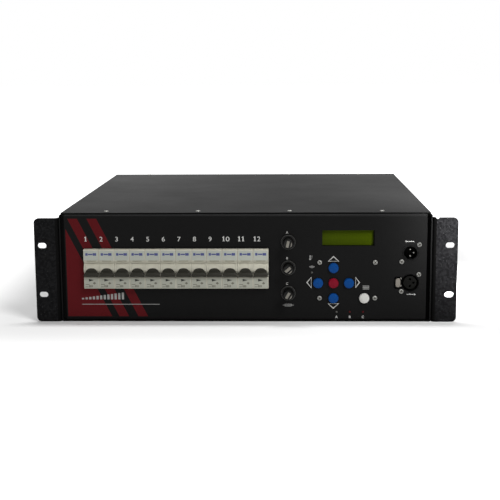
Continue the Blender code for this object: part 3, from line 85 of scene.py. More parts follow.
def on_face(node):
    """A node's place, set on the front panel's face."""
    centre = middle(node)
    return (centre.x, FACE_Y, centre.z)


def put(name, data):
    """A new object in the scene."""
    made = bpy.data.objects.new(name, data)
    bpy.context.scene.collection.objects.link(made)
    return made


def mesh_of(shape, name="shape"):
    mesh = bpy.data.meshes.new(name)
    shape.to_mesh(mesh)
    return mesh


def block(low, high):
    low, high = Vector(low), Vector(high)
    shape = bmesh.new()
    place = Matrix.LocRotScale((low + high) / 2, None, high - low)
    bmesh.ops.create_cube(shape, size=1, matrix=place)
    return shape


def bevelled(shape, edges, width, segments, clamp):
    bmesh.ops.bevel(
        shape,
        geom=edges,
        offset=width,
        segments=segments,
        profile=0.5,
        affect="EDGES",
        material=-1,
        clamp_overlap=clamp,
    )
    return shape


def softened(shape, width, segments=2, angle=SOFT_ANGLE):
    """Rounds the edges that turn by more than an angle."""
    sharp = [edge for edge in shape.edges if edge.is_manifold and edge.calc_face_angle() > angle]
    return bevelled(shape, sharp, width, segments, clamp=True)


def moved(shape, x=0.0, y=0.0, z=0.0):
    bmesh.ops.translate(shape, vec=(x, y, z), verts=shape.verts)
    return shape


def turned_by(shape, angle, axis):
    turn = Matrix.Rotation(angle, 3, axis)
    bmesh.ops.rotate(shape, cent=(0, 0, 0), matrix=turn, verts=shape.verts)
    return shape


def spun(shape, steps):
    """A line or a ring turned once about Y."""
    bmesh.ops.spin(
        shape,
        geom=shape.verts[:] + shape.edges[:],
        cent=(0, 0, 0),
        axis=(0, 1, 0),
        angle=FULL_TURN,
        steps=steps,
        use_merge=True,
    )
    bmesh.ops.remove_doubles(shape, verts=shape.verts, dist=WELD)
    bmesh.ops.recalc_face_normals(shape, faces=shape.faces)
    return shape


def lathe(profile, segments=ROUND, way=-1):
    """(radius, reach) pairs turned about Y; the reach runs forward, or back where way is 1."""
    shape = bmesh.new()
    points = [shape.verts.new((radius, way * reach, 0)) for radius, reach in profile]
    for pair in zip(points, points[1:]):
        shape.edges.new(pair)
    return spun(shape, segments)


def drawn_out(shape, drawn, way):
    """Moves what an extrusion drew, and turns the faces outwards."""
    ends = [part for part in drawn["geom"] if isinstance(part, bmesh.types.BMVert)]
    bmesh.ops.translate(shape, vec=way, verts=ends)
    bmesh.ops.recalc_face_normals(shape, faces=shape.faces)
    return shape


def plate(outline, near, far):
    """A flat outline of (across, up) points with a thickness along Y."""
    shape = bmesh.new()
    face = shape.faces.new([shape.verts.new((x, near, z)) for x, z in outline])
    drawn = bmesh.ops.extrude_face_region(shape, geom=[face])
    return drawn_out(shape, drawn, (0, far - near, 0))


def side_plate(outline, left, right):
    """A flat outline of (away, up) points with a thickness along X."""
    shape = plate(outline, left, right)
    swap = Matrix(((0, 1, 0, 0), (1, 0, 0, 0), (0, 0, 1, 0), (0, 0, 0, 1)))
    bmesh.ops.transform(shape, matrix=swap, verts=shape.verts)
    bmesh.ops.recalc_face_normals(shape, faces=shape.faces)
    return shape


def slab(width, height, corner, centre, span):
    """A plate with round corners, from the span's near end to its far one."""
    return plate(rounded_rectangle(width, height, corner, centre), *span)


def hole(radius, x, z, y, reach=0.006, segments=ROUND):
    """A cylinder along Y, to cut with."""
    return moved(plate(circle(radius, segments=segments), -reach, reach), x, y, z)


def rod(radius, start, end, segments=12):
    """A round bar between two points."""
    start, end = Vector(start), Vector(end)
    turn = Vector((0, 0, 1)).rotation_difference(end - start).to_matrix().to_4x4()
    shape = bmesh.new()
    bmesh.ops.create_cone(
        shape,
        cap_ends=True,
        segments=segments,
        radius1=radius,
        radius2=radius,
        depth=(end - start).length,
        matrix=Matrix.Translation((start + end) / 2) @ turn,
    )
    return shape


def wire_ring(radius, wire):
    shape = bmesh.new()
    bmesh.ops.create_circle(shape, segments=10, radius=wire)
    return spun(moved(shape, radius), 64)


def modified(shape, kind, settings):
    """The shape as a modifier leaves it."""
    held = put("held", mesh_of(shape))
    change = held.modifiers.new("change", kind)
    for key, value in settings.items():
        setattr(change, key, value)
    made = bmesh.new()
    made.from_object(held, bpy.context.evaluated_depsgraph_get())
    bpy.data.meshes.remove(held.data)
    return made


def combined(shape, tool, operation):
    other = put("tool", mesh_of(tool))
    made = modified(shape, "BOOLEAN", {"object": other, "operation": operation})
    bpy.data.meshes.remove(other.data)
    return made


def cut(shape, tool):
    return combined(shape, tool, "DIFFERENCE")


def together(shapes, numbered=False):
    """Separate shapes as one; numbered, each has its own material slot."""
    made = bmesh.new()
    for index, shape in enumerate(shapes):
        mesh = mesh_of(shape)
        if numbered:
            for face in mesh.polygons:
                face.material_index = index
        made.from_mesh(mesh)
        bpy.data.meshes.remove(mesh)
    return made


def copies(shape, places):
    """A copy of a shape at each (across, up) place."""
    return together([moved(shape.copy(), x, 0, z) for x, z in places])


def all_round(shape, count, first=0.0):
    """So many copies of a shape, spread evenly about Y."""
    angles = [first + FULL_TURN * index / count for index in range(count)]
    return together([turned_by(shape.copy(), angle, "Y") for angle in angles])


# Outlines and profiles


def arc(radius, start, end, steps, centre=(0, 0)):
    angles = [start + (end - start) * step / steps for step in range(steps + 1)]
    return [
        (centre[0] + radius * math.cos(angle), centre[1] + radius * math.sin(angle))
        for angle in angles
    ]


def circle(radius, centre=(0, 0), segments=ROUND):
    return arc(radius, 0, FULL_TURN, segments, centre)[:-1]


def rounded_rectangle(width, height, corner, centre=(0, 0), steps=6):
    outline = []
    for quarter, (side, level) in enumerate(((1, 1), (-1, 1), (-1, -1), (1, -1))):
        corner_centre = (
            centre[0] + side * (width / 2 - corner),
            centre[1] + level * (height / 2 - corner),
        )
        start = quarter * QUARTER
        outline += arc(corner, start, start + QUARTER, steps, corner_centre)
    return outline


def oblong(length, width, centre):
    return rounded_rectangle(length, width, width / 2 - WELD, centre, steps=10)


def corners(half_width, half_height, centre=(0, 0)):
    return [
        (centre[0] + side * half_width, centre[1] + level * half_height)
        for side in BOTH
        for level in BOTH
    ]


def quarter_curve(start, across, drop, steps):
    """Profile points on a quarter ellipse, from its top out and down."""
    angles = [QUARTER * step / steps for step in range(steps + 1)]
    return [
        (start[0] + across * math.sin(angle), start[1] - drop * (1 - math.cos(angle)))
        for angle in angles
    ]


def rounded_rim(radius, edge, reach, steps):
    """Profile points of a turned piece's rounded outer edge."""
    return quarter_curve((radius - edge, reach), edge, edge, steps)


def tube(inner, outer, low, high):
    """The closed profile of a plain tube."""
    return [(inner, low), (inner, high), (outer, high), (outer, low), (inner, low)]


# Materials


def srgb(red, green, blue):
    """A colour given as a photograph's values, made linear."""
    made = []
    for value in (red, green, blue):
        share = value / 255
        made.append(share / 12.92 if share <= 0.04045 else ((share + 0.055) / 1.055) ** 2.4)
    return tuple(made)


def faded(colour, share, lift=0.0):
    return tuple(value * share + lift for value in colour)


class Signal:
    """A node's output; arithmetic on it adds Math nodes."""

    def __init__(self, nodes, socket):
        self.nodes = nodes
        self.socket = socket

    def __add__(self, other):
        return self.nodes.maths("ADD", self, other)

    __radd__ = __add__

    def __sub__(self, other):
        return self.nodes.maths("SUBTRACT", self, other)

    def __rsub__(self, other):
        return self.nodes.maths("SUBTRACT", other, self)

    def __mul__(self, other):
        return self.nodes.maths("MULTIPLY", self, other)

    __rmul__ = __mul__

    def __lt__(self, other):
        return self.nodes.maths("LESS_THAN", self, other)

    def __gt__(self, other):
        return self.nodes.maths("GREATER_THAN", self, other)

    def output(self, name):
        return Signal(self.nodes, self.socket.node.outputs[name])


class Nodes:
    """The node tree of a material or of the world."""

    def __init__(self, owner):
        owner.use_nodes = True
        self.tree = owner.node_tree

    def feed(self, node, values):
        for key, value in values.items():
            if isinstance(value, Signal):
                self.tree.links.new(value.socket, node.inputs[key])
            elif isinstance(value, tuple) and len(value) == 3 and node.inputs[key].type == "RGBA":
                node.inputs[key].default_value = (*value, 1)
            else:
                node.inputs[key].default_value = value

    def node(self, kind, settings, values, output=0):
        made = self.tree.nodes.new(kind)
        for key, value in settings.items():
            setattr(made, key, value)
        self.feed(made, values)
        return Signal(self, made.outputs[output])

    def maths(self, operation, first, second):
        return self.node("ShaderNodeMath", {"operation": operation}, {0: first, 1: second})

    def vector(self, operation, first, second=(0, 0, 0), output=0):
        settings = {"operation": operation}
        return self.node("ShaderNodeVectorMath", settings, {0: first, 1: second}, output)

    def place(self):
        return self.node("ShaderNodeTexCoord", {}, {}, "Object")

    def axes(self):
        parts = self.node("ShaderNodeSeparateXYZ", {}, {0: self.place()})
        return parts.output("X"), parts.output("Y"), parts.output("Z")

    def noise(self, grain, detail=2.0, stretch=(1, 1, 1)):
        """Noise whose features are about one grain wide."""
        scaled = self.node("ShaderNodeMapping", {}, {0: self.place(), "Scale": stretch})
        values = {"Vector": scaled, "Scale": 1 / grain, "Detail": detail}
        return self.node("ShaderNodeTexNoise", {}, values)

    def between(self, signal, low, high, start=0.0, end=1.0, kind="LINEAR"):
        """The signal's span from low to high mapped to start and end, and held past them."""
        values = {0: signal, 1: low, 2: high, 3: start, 4: end}
        return self.node("ShaderNodeMapRange", {"interpolation_type": kind}, values)

    def mix(self, mask, first, second):
        values = {0: mask, 6: first, 7: second}
        return self.node("ShaderNodeMix", {"data_type": "RGBA"}, values, output=2)

    def surface(self, kind, shader):
        """What the material or the world shows."""
        self.feed(self.tree.nodes.new(f"ShaderNodeOutput{kind}"), {"Surface": shader})


# Where a noise's values mostly lie
NOISE_SPAN = (0.3, 0.7)


class Finish(Nodes):
    """A procedural material on one Principled shader, and the record's slot that it belongs to."""

    def __init__(self, name, slot, steady):
        self.material = bpy.data.materials.new(name)
        super().__init__(self.material)
        self.slot = slot
        self.shader = self.tree.nodes["Principled BSDF"]
        self.feed(self.shader, steady)

    def colour(self, signal):
        self.feed(self.shader, {"Base Color": signal})

    def roughness(self, signal):
        self.feed(self.shader, {"Roughness": signal})

    def unevenness(self, cloud, low, high):
        return self.between(cloud, *NOISE_SPAN, low, high)

    def bump(self, height, distance):
        normal = self.node("ShaderNodeBump", {}, {"Height": height, "Distance": distance})
        self.feed(self.shader, {"Normal": normal})


def plain_paint(name, slot, colour, roughness, gloss=0.5):
    """A finish with a slight unevenness of tone and gloss, as on any moulded or coated surface."""
    made = Finish(name, slot, {"Specular IOR Level": gloss})
    cloud = made.noise(0.02)
    full = srgb(*colour)
    made.colour(made.mix(cloud, faded(full, 0.88), full))
    made.roughness(made.unevenness(cloud, roughness - 0.03, roughness + 0.03))
    return made


def worn_plastic(name, slot, colour, roughness, gloss=0.5):
    """Moulded plastic with a very fine spark-eroded grain."""
    made = plain_paint(name, slot, colour, roughness, gloss)
    made.bump(made.noise(0.00025), 0.000006)
    return made


def brushed_metal(name, slot, colour, roughness, stretch=(1, 1, 1), grain=0.0006):
    made = Finish(name, slot, {"Metallic": 1.0})
    lines = made.noise(grain, 3.0, stretch)
    full = srgb(*colour)
    made.colour(made.mix(lines, faded(full, 0.8), full))
    made.roughness(made.unevenness(lines, roughness - 0.06, roughness + 0.08))
    made.bump(lines, 0.000006)
    return made


COAT_GLOSS = 0.05
COVER_GLOSS = 0.04
EAR_GLOSS = 0.04
COAT_BLACK = srgb(17, 17, 17)
COAT_SHADE = faded(COAT_BLACK, 0.85)
COAT_DUST = faded(COAT_BLACK, 2.2, 0.006)
COAT_CLOUD = 0.05
# Painted shade: near black where a sheet is bent, for the dark bends at the edges of the front
# panel and the ears
BEND_SHADE_BLACK = srgb(6, 6, 6)
PANEL_FLAT_HALF = 0.2064
EAR_FLAT_FROM = 0.2170


def powder_coat(name, grain, depth, gloss, roughness, wear=None):
    """Powder coat: an orange-peel skin over slow changes of tone, with a little dust."""
    made = Finish(name, "satin_coat", {"Specular IOR Level": gloss})
    cloud = made.noise(COAT_CLOUD, 3.0)
    dust = made.between(made.noise(0.0006, 1.0), 0.70, 0.80, 0.0, 0.35)
    made.colour(made.mix(dust, made.mix(cloud, COAT_SHADE, COAT_BLACK), COAT_DUST))
    dullness = made.unevenness(cloud, roughness - 0.02, roughness + 0.02)
    made.roughness(dullness + wear(made) if wear else dullness)
    made.bump(made.noise(grain), depth)
    return made


def cover_wear(made):
    """The cover is duller at its front and rubbed smoother toward its rear corners."""
    x, y, _ = made.axes()
    rearward = made.between(y, FACE_Y, REAR_Y)
    leftward = made.between(x, 0.02, -0.16)
    rightward = made.between(x, 0.06, 0.18)
    dull = 0.06 * (1 - rearward) - 0.055 * leftward
    return dull - 0.045 * rearward * leftward - 0.065 * rearward * rearward * rightward


def ear_coat():
    """Coarse mottled powder coat, with painted shade in the ear's bend."""
    made = Finish("textured_black_coat", "textured_coat", {"Specular IOR Level": EAR_GLOSS})
    x, _, _ = made.axes()
    mottle = made.between(made.noise(0.0026, 3.0), 0.40, 0.62)
    coat = made.mix(mottle, srgb(13, 13, 14), srgb(25, 25, 26))
    specks = made.between(made.noise(0.0019, 1.0), 0.66, 0.72)
    coat = made.mix(specks, coat, srgb(42, 42, 43))
    # Painted shade: the bend between the ear's plate and its flange is coloured near black
    bend = (x < EAR_FLAT_FROM) * (x > -EAR_FLAT_FROM)
    made.colour(made.mix(bend, coat, BEND_SHADE_BLACK))
    made.roughness(made.between(mottle, 0.0, 1.0, 0.6, 0.5))
    made.bump(made.noise(0.0016), 0.00012)
    return made


PRINT_RED = srgb(86, 20, 24)
PRINT_LEAN = 0.5
# Where each slanted band starts and ends along X at the panel's underside
PRINT_BANDS = ((-0.300, -0.1540), (-0.1455, -0.1345), (-0.1235, -0.1125))
PRINT_EDGE = 0.0002
PRINT_LEFT_X = -0.2050
PRINT_MARGIN_Z = 0.0045


def printed_panel_coat():
    """The front panel's coat, with straight slanted bands of dark red print at its left, and
    painted shade on its side bends.
    """
    made = Finish("printed_satin_coat", "satin_coat", {"Specular IOR Level": COAT_GLOSS})
    x, y, z = made.axes()
    low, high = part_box("front_panel")
    low_z, high_z = low.z + PRINT_MARGIN_Z, high.z - PRINT_MARGIN_Z
    slanted = x + PRINT_LEAN * (z - low_z)
    mask = 0
    for start, end in PRINT_BANDS:
        rise = made.between(slanted, start - PRINT_EDGE, start)
        mask = mask + rise * made.between(slanted, end, end + PRINT_EDGE, 1.0, 0.0)
    field = (z > low_z) * (z < high_z) * (x > PRINT_LEFT_X) * (y < FACE_Y + 0.0005)
    cloud = made.noise(COAT_CLOUD, 3.0)
    # Painted shade: past the flat face the side bends turn near black and rougher, and the right
    # bend turns black metal, which keeps them dark
    right_bend_shade = x > PANEL_FLAT_HALF
    bend = right_bend_shade + (x < -PANEL_FLAT_HALF)
    black = made.mix(bend, made.mix(cloud, COAT_SHADE, COAT_BLACK), BEND_SHADE_BLACK)
    red = made.mix(cloud, faded(PRINT_RED, 0.92), PRINT_RED)
    made.colour(made.mix(mask * field, black, red))
    made.roughness(made.unevenness(cloud, 0.42, 0.50) + 0.5 * bend)
    made.feed(made.shader, {"Metallic": right_bend_shade})
    made.bump(made.noise(0.0006), 0.000012)
    return made


def breaker_moulding():
    """Warm grey moulding, faintly clouded."""
    made = Finish("warm_grey_moulding", "breaker_moulding", {"Specular IOR Level": 0.25})
    cloud = made.noise(0.006, 3.0)
    made.colour(made.mix(cloud, srgb(184, 181, 166), srgb(194, 192, 177)))
    made.roughness(made.unevenness(cloud, 0.40, 0.48))
    made.bump(made.noise(0.0003), 0.000008)
    return made


def circuit_board():
    """Green solder mask with faint straight tracks and tinned pads."""
    made = Finish("green_solder_mask", "board_green", {"Coat Weight": 0.3})
    place = made.place()
    bricks = {"Scale": 90.0, "Mortar Size": 0.06, "Brick Width": 1.2, "Row Height": 0.35}
    tracks = made.node("ShaderNodeTexBrick", {}, {0: place, **bricks}, output=1)
    dots = made.node("ShaderNodeTexVoronoi", {}, {0: place, "Scale": 260.0})
    pads = made.between(dots, 0.16, 0.22, 1.0, 0.0)
    mask = made.mix(tracks, srgb(16, 86, 52), srgb(24, 108, 66))
    made.colour(made.mix(pads, mask, srgb(186, 188, 184)))
    made.roughness(made.between(pads, 0.0, 1.0, 0.5, 0.3))
    made.bump(tracks, 0.00003)
    return made


CELL_PITCH_X = 0.00356
CELL_PITCH_Z = 0.0067
CELL_SHARE = 0.84
CELL_BLUR = 0.03


def display_green():
    """The display's lit area, with the faint grid of two rows of sixteen characters."""
    made = Finish("green_display", "display_green", {"Specular IOR Level": 0.02, "Roughness": 0.35})
    x, _, z = made.axes()
    centre = middle("display_module")

    def cells(axis, origin, pitch):
        counted = {0: (axis - origin) * (1 / pitch) + 50.0}
        wave = made.node("ShaderNodeMath", {"operation": "FRACT"}, counted)
        return 1 - made.between(wave, CELL_SHARE - CELL_BLUR, CELL_SHARE + CELL_BLUR)

    grid = cells(x, centre.x, CELL_PITCH_X) * cells(z, centre.z, CELL_PITCH_Z)
    across = made.between(x, centre.x - 0.03, centre.x + 0.03)
    field = made.mix(across, srgb(56, 69, 6), srgb(60, 74, 2))
    shaded = made.mix(across, srgb(54, 67, 6), srgb(58, 72, 2))
    made.colour(made.mix(grid, field, shaded))
    return made


def copper_winding():
    made = Finish("enamelled_copper", "winding_copper", {"Metallic": 0.9, "Coat Weight": 0.6})
    turns = made.noise(0.0016, 1.0, (1, 1, 0.25))
    made.colour(made.mix(turns, srgb(132, 62, 30), srgb(196, 112, 62)))
    made.roughness(made.unevenness(turns, 0.25, 0.4))
    made.bump(turns, 0.0003)
    return made


LABEL_GLOSS = 0.2
PLASTIC_GLOSS = 0.12
KEY_GLOSS = 0.1
DEEP_GLOSS = 0.04
SATIN = powder_coat("satin_black_coat", 0.0006, 0.000012, COAT_GLOSS, 0.46)
COVER = powder_coat("cover_black_coat", 0.0007, 0.00002, COVER_GLOSS, 0.52, cover_wear)
PRINTED = printed_panel_coat()
EAR = ear_coat()
MOULDING = breaker_moulding()


def label_paint(name, colour, roughness=0.5, slot="breaker_moulding"):
    return plain_paint(name, slot, colour, roughness, LABEL_GLOSS)


LABEL = label_paint("pale_label", (176, 180, 170), 0.55)
# Painted shade: the lower label is the same stock as the upper one, coloured darker for the shade
# it gets
LOW_LABEL_SHADED = label_paint("lower_label_painted_shade", (166, 167, 155), 0.55)
LABEL_BLUE = label_paint("blue_label_print", (74, 80, 128))
LABEL_GREY = label_paint("grey_label_print", (104, 102, 92))
# Brown print, made dark enough to also stand for painted shade on the pocket's sloped top wall
LABEL_BROWN_SHADE = label_paint("brown_print_and_painted_shade", (134, 130, 112))
LABEL_BLACK = label_paint("black_label_print", (32, 32, 30), slot="toggle_black")
PRINT_WHITE = label_paint("pale_print", (204, 204, 201), slot="key_white")
PRINT_PALE = label_paint("pale_grey_print", (184, 184, 180), slot="key_white")
PRINT_GREY = label_paint("grey_print", (150, 150, 148), slot="key_white")
TOGGLE = worn_plastic("toggle_plastic", "toggle_black", (44, 43, 37), 0.45, PLASTIC_GLOSS)
BLACK = worn_plastic("black_moulded_plastic", "moulding_black", (24, 24, 24), 0.4, PLASTIC_GLOSS)
GLOSS = plain_paint("glossy_black_plastic", "moulding_black", (20, 20, 19), 0.22, PLASTIC_GLOSS)
# Painted highlight: the fuse flange's rounded rim is coloured lighter than the black holder, so it
# reads as a lit edge
RIM_HIGHLIGHT = plain_paint("black_rim_painted_highlight", "moulding_black", (62, 62, 60), 0.3, PLASTIC_GLOSS)
INSERT = plain_paint("matt_black_insert", "moulding_black", (14, 14, 13), 0.6, DEEP_GLOSS)
DEEP = plain_paint("deep_black_plastic", "moulding_black", (7, 7, 7), 0.5, DEEP_GLOSS)
RUBBER = worn_plastic("black_rubber", "moulding_black", (24, 24, 24), 0.7, PLASTIC_GLOSS)
TERMINAL = worn_plastic("grey_terminal_plastic", "terminal_grey", (148, 150, 152), 0.5)
BLUE_KEY = worn_plastic("blue_key", "key_blue", (2, 60, 122), 0.42, KEY_GLOSS)
RED_KEY = worn_plastic("red_key", "key_red", (115, 7, 30), 0.42, KEY_GLOSS)
WHITE_KEY = worn_plastic("white_key", "key_white", (198, 197, 192), 0.42, KEY_GLOSS)
LAMP_RED = plain_paint("unlit_red_lamp", "key_red", (72, 10, 14), 0.3, KEY_GLOSS)
LAMP_CLEAR = plain_paint("unlit_clear_lamp", "key_white", (80, 80, 76), 0.3, KEY_GLOSS)
ZINC = brushed_metal("zinc_plate", "zinc_steel", (150, 150, 146), 0.48, (1, 1, 4))
RECESS = brushed_metal("zinc_in_shade", "zinc_steel", (70, 68, 64), 0.5)
CHROME = brushed_metal("bright_guard_wire", "zinc_steel", (214, 214, 212), 0.18)
TAB = brushed_metal("worn_nickel_tab", "satin_nickel", (128, 123, 116), 0.5, (3, 1, 1))
# The fuse caps' metal end plate, also used for the crescent that stands for a painted reflection
END_PLATE_AND_REFLECTION = brushed_metal("dull_end_plate_and_painted_reflection", "satin_nickel", (116, 113, 106), 0.45, grain=0.0012)
TIN = brushed_metal("tinned_contact", "satin_nickel", (170, 168, 162), 0.3, (1, 6, 1))
CORE = brushed_metal("varnished_core_steel", "core_steel", (98, 88, 76), 0.45, (1, 12, 1))
SINK_GRAIN = (6, 0.3, 6)
ALUMINIUM = brushed_metal(
    "extruded_aluminium", "sink_aluminium", (196, 197, 200), 0.36, SINK_GRAIN
)
BOARD = circuit_board()
SCREEN = display_green()
COPPER = copper_winding()


# Pieces


def piece(name, parts, body="case", replaces=(), place=None, even=False):
    """An object from (shape, finish) parts, which rides on a body and may stand for CAD nodes."""
    whole = together([shape for shape, _ in parts], numbered=True)
    mesh = mesh_of(whole, name)
    whole.free()
    if place:
        mesh.transform(Matrix.Translation(place))
    for _, finish in parts:
        mesh.materials.append(finish.material)
    mesh.shade_smooth()
    mesh.set_sharp_from_angle(angle=SMOOTH_ANGLE)
    made = put(name, mesh)
    if even:
        weigh = made.modifiers.new("even_faces", "WEIGHTED_NORMAL")
        weigh.keep_sharp = True
    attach(made, body)
    if replaces:
        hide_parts(*replaces)
    return made


def paint_node(node, finish):
    """A carried-over CAD node keeps its shape and takes a finish."""
    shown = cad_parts[node]
    shown.data.materials.clear()
    shown.data.materials.append(finish.material)


# Case

PANEL_SHEET = 0.002
PANEL_BEND = 0.0035
FOLD_STEPS = 8
SHEET_GAP = 0.0003
PANEL_BACK = PANEL_SHEET + SHEET_GAP


def folded(shape, open_faces, bend, sheet):
    """A thin-walled folded sheet from a solid's skin without its open faces."""
    bmesh.ops.delete(shape, geom=open_faces, context="FACES")
    folds = [
        edge
        for edge in shape.edges
        if not edge.is_boundary and edge.calc_face_angle() > SMOOTH_ANGLE
    ]
    bevelled(shape, folds, bend, FOLD_STEPS, clamp=False)
    settings = {"thickness": sheet, "offset": -1, "use_even_offset": True}
    return modified(shape, "SOLIDIFY", settings)


def folded_pan(node, open_way):
    """A panel's shallow pan, open toward that way along Y."""
    shape = block(*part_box(node))
    open_face = [face for face in shape.faces if face.normal.y * open_way > 0.5]
    return folded(shape, open_face, PANEL_BEND, PANEL_SHEET)


WINDOW_GAP = 0.0004
WINDOW_CORNER = 0.001
NOSE_HEIGHT = 0.0455
ROW_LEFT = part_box("breaker_body_01")[0].x
ROW_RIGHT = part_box("breaker_body_12")[1].x
ROW_X = (ROW_RIGHT + ROW_LEFT) / 2
ROW_Z = middle("breaker_body_01").z
DISPLAY_OPENING = (0.0592, 0.0178, 0.0006)
KEY_NAMES = ("up", "left", "enter", "right", "down", "menu")
KEY_HOLE_RADIUS = 0.0060
FUSE_LETTERS = ("a", "b", "c")
FUSE_HOLE_RADIUS = 0.0071
SIGNAL_X = middle("signal_inlet").x
SIGNAL_IN_Z = middle("signal_inlet").z
SIGNAL_LINK_Z = middle("signal_link").z
INLET_OUTER_RADIUS = 0.0090
LINK_SHELL_RADIUS = 0.0100
LATCH_WINDOW = (0.0096, 0.0144, 0.0022)


def front_panel():
    pan = folded_pan("front_panel", 1)
    span = (FACE_Y - PANEL_SHEET, FACE_Y + 2 * PANEL_SHEET)
    width = ROW_RIGHT - ROW_LEFT + 2 * WINDOW_GAP
    height = NOSE_HEIGHT + 2 * WINDOW_GAP
    screen = middle("display_module")
    holes = [
        slab(width, height, WINDOW_CORNER, (ROW_X, ROW_Z), span),
        slab(*DISPLAY_OPENING, (screen.x, screen.z), span),
    ]
    keys = [(middle(f"button_{name}"), KEY_HOLE_RADIUS) for name in KEY_NAMES]
    fuses_at = [(middle(f"fuse_holder_{letter}"), FUSE_HOLE_RADIUS) for letter in FUSE_LETTERS]
    for centre, radius in keys + fuses_at:
        holes.append(hole(radius, centre.x, centre.z, FACE_Y))
    holes.append(hole(INLET_OUTER_RADIUS + SHEET_GAP, SIGNAL_X, SIGNAL_IN_Z, FACE_Y))
    pan = cut(pan, together(holes))
    pan = cut(pan, hole(LINK_SHELL_RADIUS + SHEET_GAP, SIGNAL_X, SIGNAL_LINK_Z, FACE_Y))
    latch = middle("link_latch")
    pan = cut(pan, slab(*LATCH_WINDOW, (latch.x, latch.z), span))
    piece("front_panel_sheet", [(pan, PRINTED)], replaces=["front_panel"], even=True)


FAN_BORE = 0.0382
OUTPUT_HOLE = 0.0198
GLAND_HOLE = 0.0163


def rear_panel():
    pan = folded_pan("rear_panel", -1)
    holes = []
    for side in SIDES:
        fan = middle(f"fan_frame_{side}")
        holes.append(hole(FAN_BORE, fan.x, fan.z, REAR_Y, segments=72))
        socket = middle(f"output_socket_{side}")
        holes.append(hole(OUTPUT_HOLE, socket.x, socket.z, REAR_Y))
    gland = middle("cable_gland")
    holes.append(hole(GLAND_HOLE, gland.x, gland.z, REAR_Y))
    pan = cut(pan, together(holes))
    piece("rear_panel_sheet", [(pan, SATIN)], replaces=["rear_panel"], even=True)


TRAY_SHEET = 0.0015
TRAY_BEND = 0.002
TRAY_LIP = 0.0125
SIDE_SLOTS = 10
SIDE_SLOT_PITCH = 0.011
SIDE_SLOT = (0.060, 0.0035)
SIDE_SLOT_FIRST = 0.090
SIDE_SLOT_Z = 0.062
PANEL_RETURN = 0.020
BRACKET_TOP = 0.084
BRACKET_SHEET = 0.002


def chassis_tray():
    """The folded tray with its in-turned lips, side slots and the rail's bracket."""
    low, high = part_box("chassis_tray")
    shape = block(low, high)
    for side in BOTH:
        bmesh.ops.bisect_plane(
            shape,
            geom=shape.verts[:] + shape.edges[:] + shape.faces[:],
            plane_co=(side * (high.x - TRAY_LIP), 0, 0),
            plane_no=(1, 0, 0),
        )
    shape.normal_update()
    open_faces = [
        face
        for face in shape.faces
        if abs(face.normal.y) > 0.5
        or (face.normal.z > 0.5 and abs(face.calc_center_median().x) < high.x - TRAY_LIP)
    ]
    tray = folded(shape, open_faces, TRAY_BEND, TRAY_SHEET)
    tools = []
    for index in range(SIDE_SLOTS):
        middle_y = FACE_Y + SIDE_SLOT_FIRST + index * SIDE_SLOT_PITCH
        outline = [(y, z) for z, y in oblong(*SIDE_SLOT, (SIDE_SLOT_Z, middle_y))]
        for side in BOTH:
            ends = sorted((side * (high.x + TRAY_BEND), side * (high.x - 3 * TRAY_SHEET)))
            tools.append(side_plate(outline, *ends))
    tray = cut(tray, together(tools))
    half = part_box("front_panel")[1].x + 2 * SHEET_GAP
    reach = PANEL_RETURN + SHEET_GAP
    room = [
        block((-half, y - reach, high.z - PANEL_BEND), (half, y + reach, 2 * high.z))
        for y in (FACE_Y, REAR_Y)
    ]
    tray = cut(tray, together(room))
    rail_low, rail_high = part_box("din_rail")
    bracket_y = rail_high.y + SHEET_GAP
    bracket = block(
        (rail_low.x, bracket_y, TRAY_SHEET / 2),
        (rail_high.x, bracket_y + BRACKET_SHEET, BRACKET_TOP),
    )
    tray = combined(tray, bracket, "UNION")
    piece("chassis_tray_sheet", [(tray, SATIN)], replaces=["chassis_tray"], even=True)


COVER_EDGE = 0.0004


def top_cover():
    lid = softened(block(*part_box("top_cover")), COVER_EDGE, 3)
    piece("top_cover_sheet", [(lid, COVER)], replaces=["top_cover"], even=True)


EAR_SHEET = 0.0025
EAR_BEND = 0.0045
EAR_CORNER = 0.0055
EAR_SLOT = (0.0101, 0.0065)
EAR_SLOT_INSET = 0.00875
EAR_SLOT_RISE = 0.05715
EAR_TAPER_FROM = 0.007
EAR_TAPER = 0.014
EAR_NOTCH = 0.0018
EAR_NOTCH_INSET = 0.0054


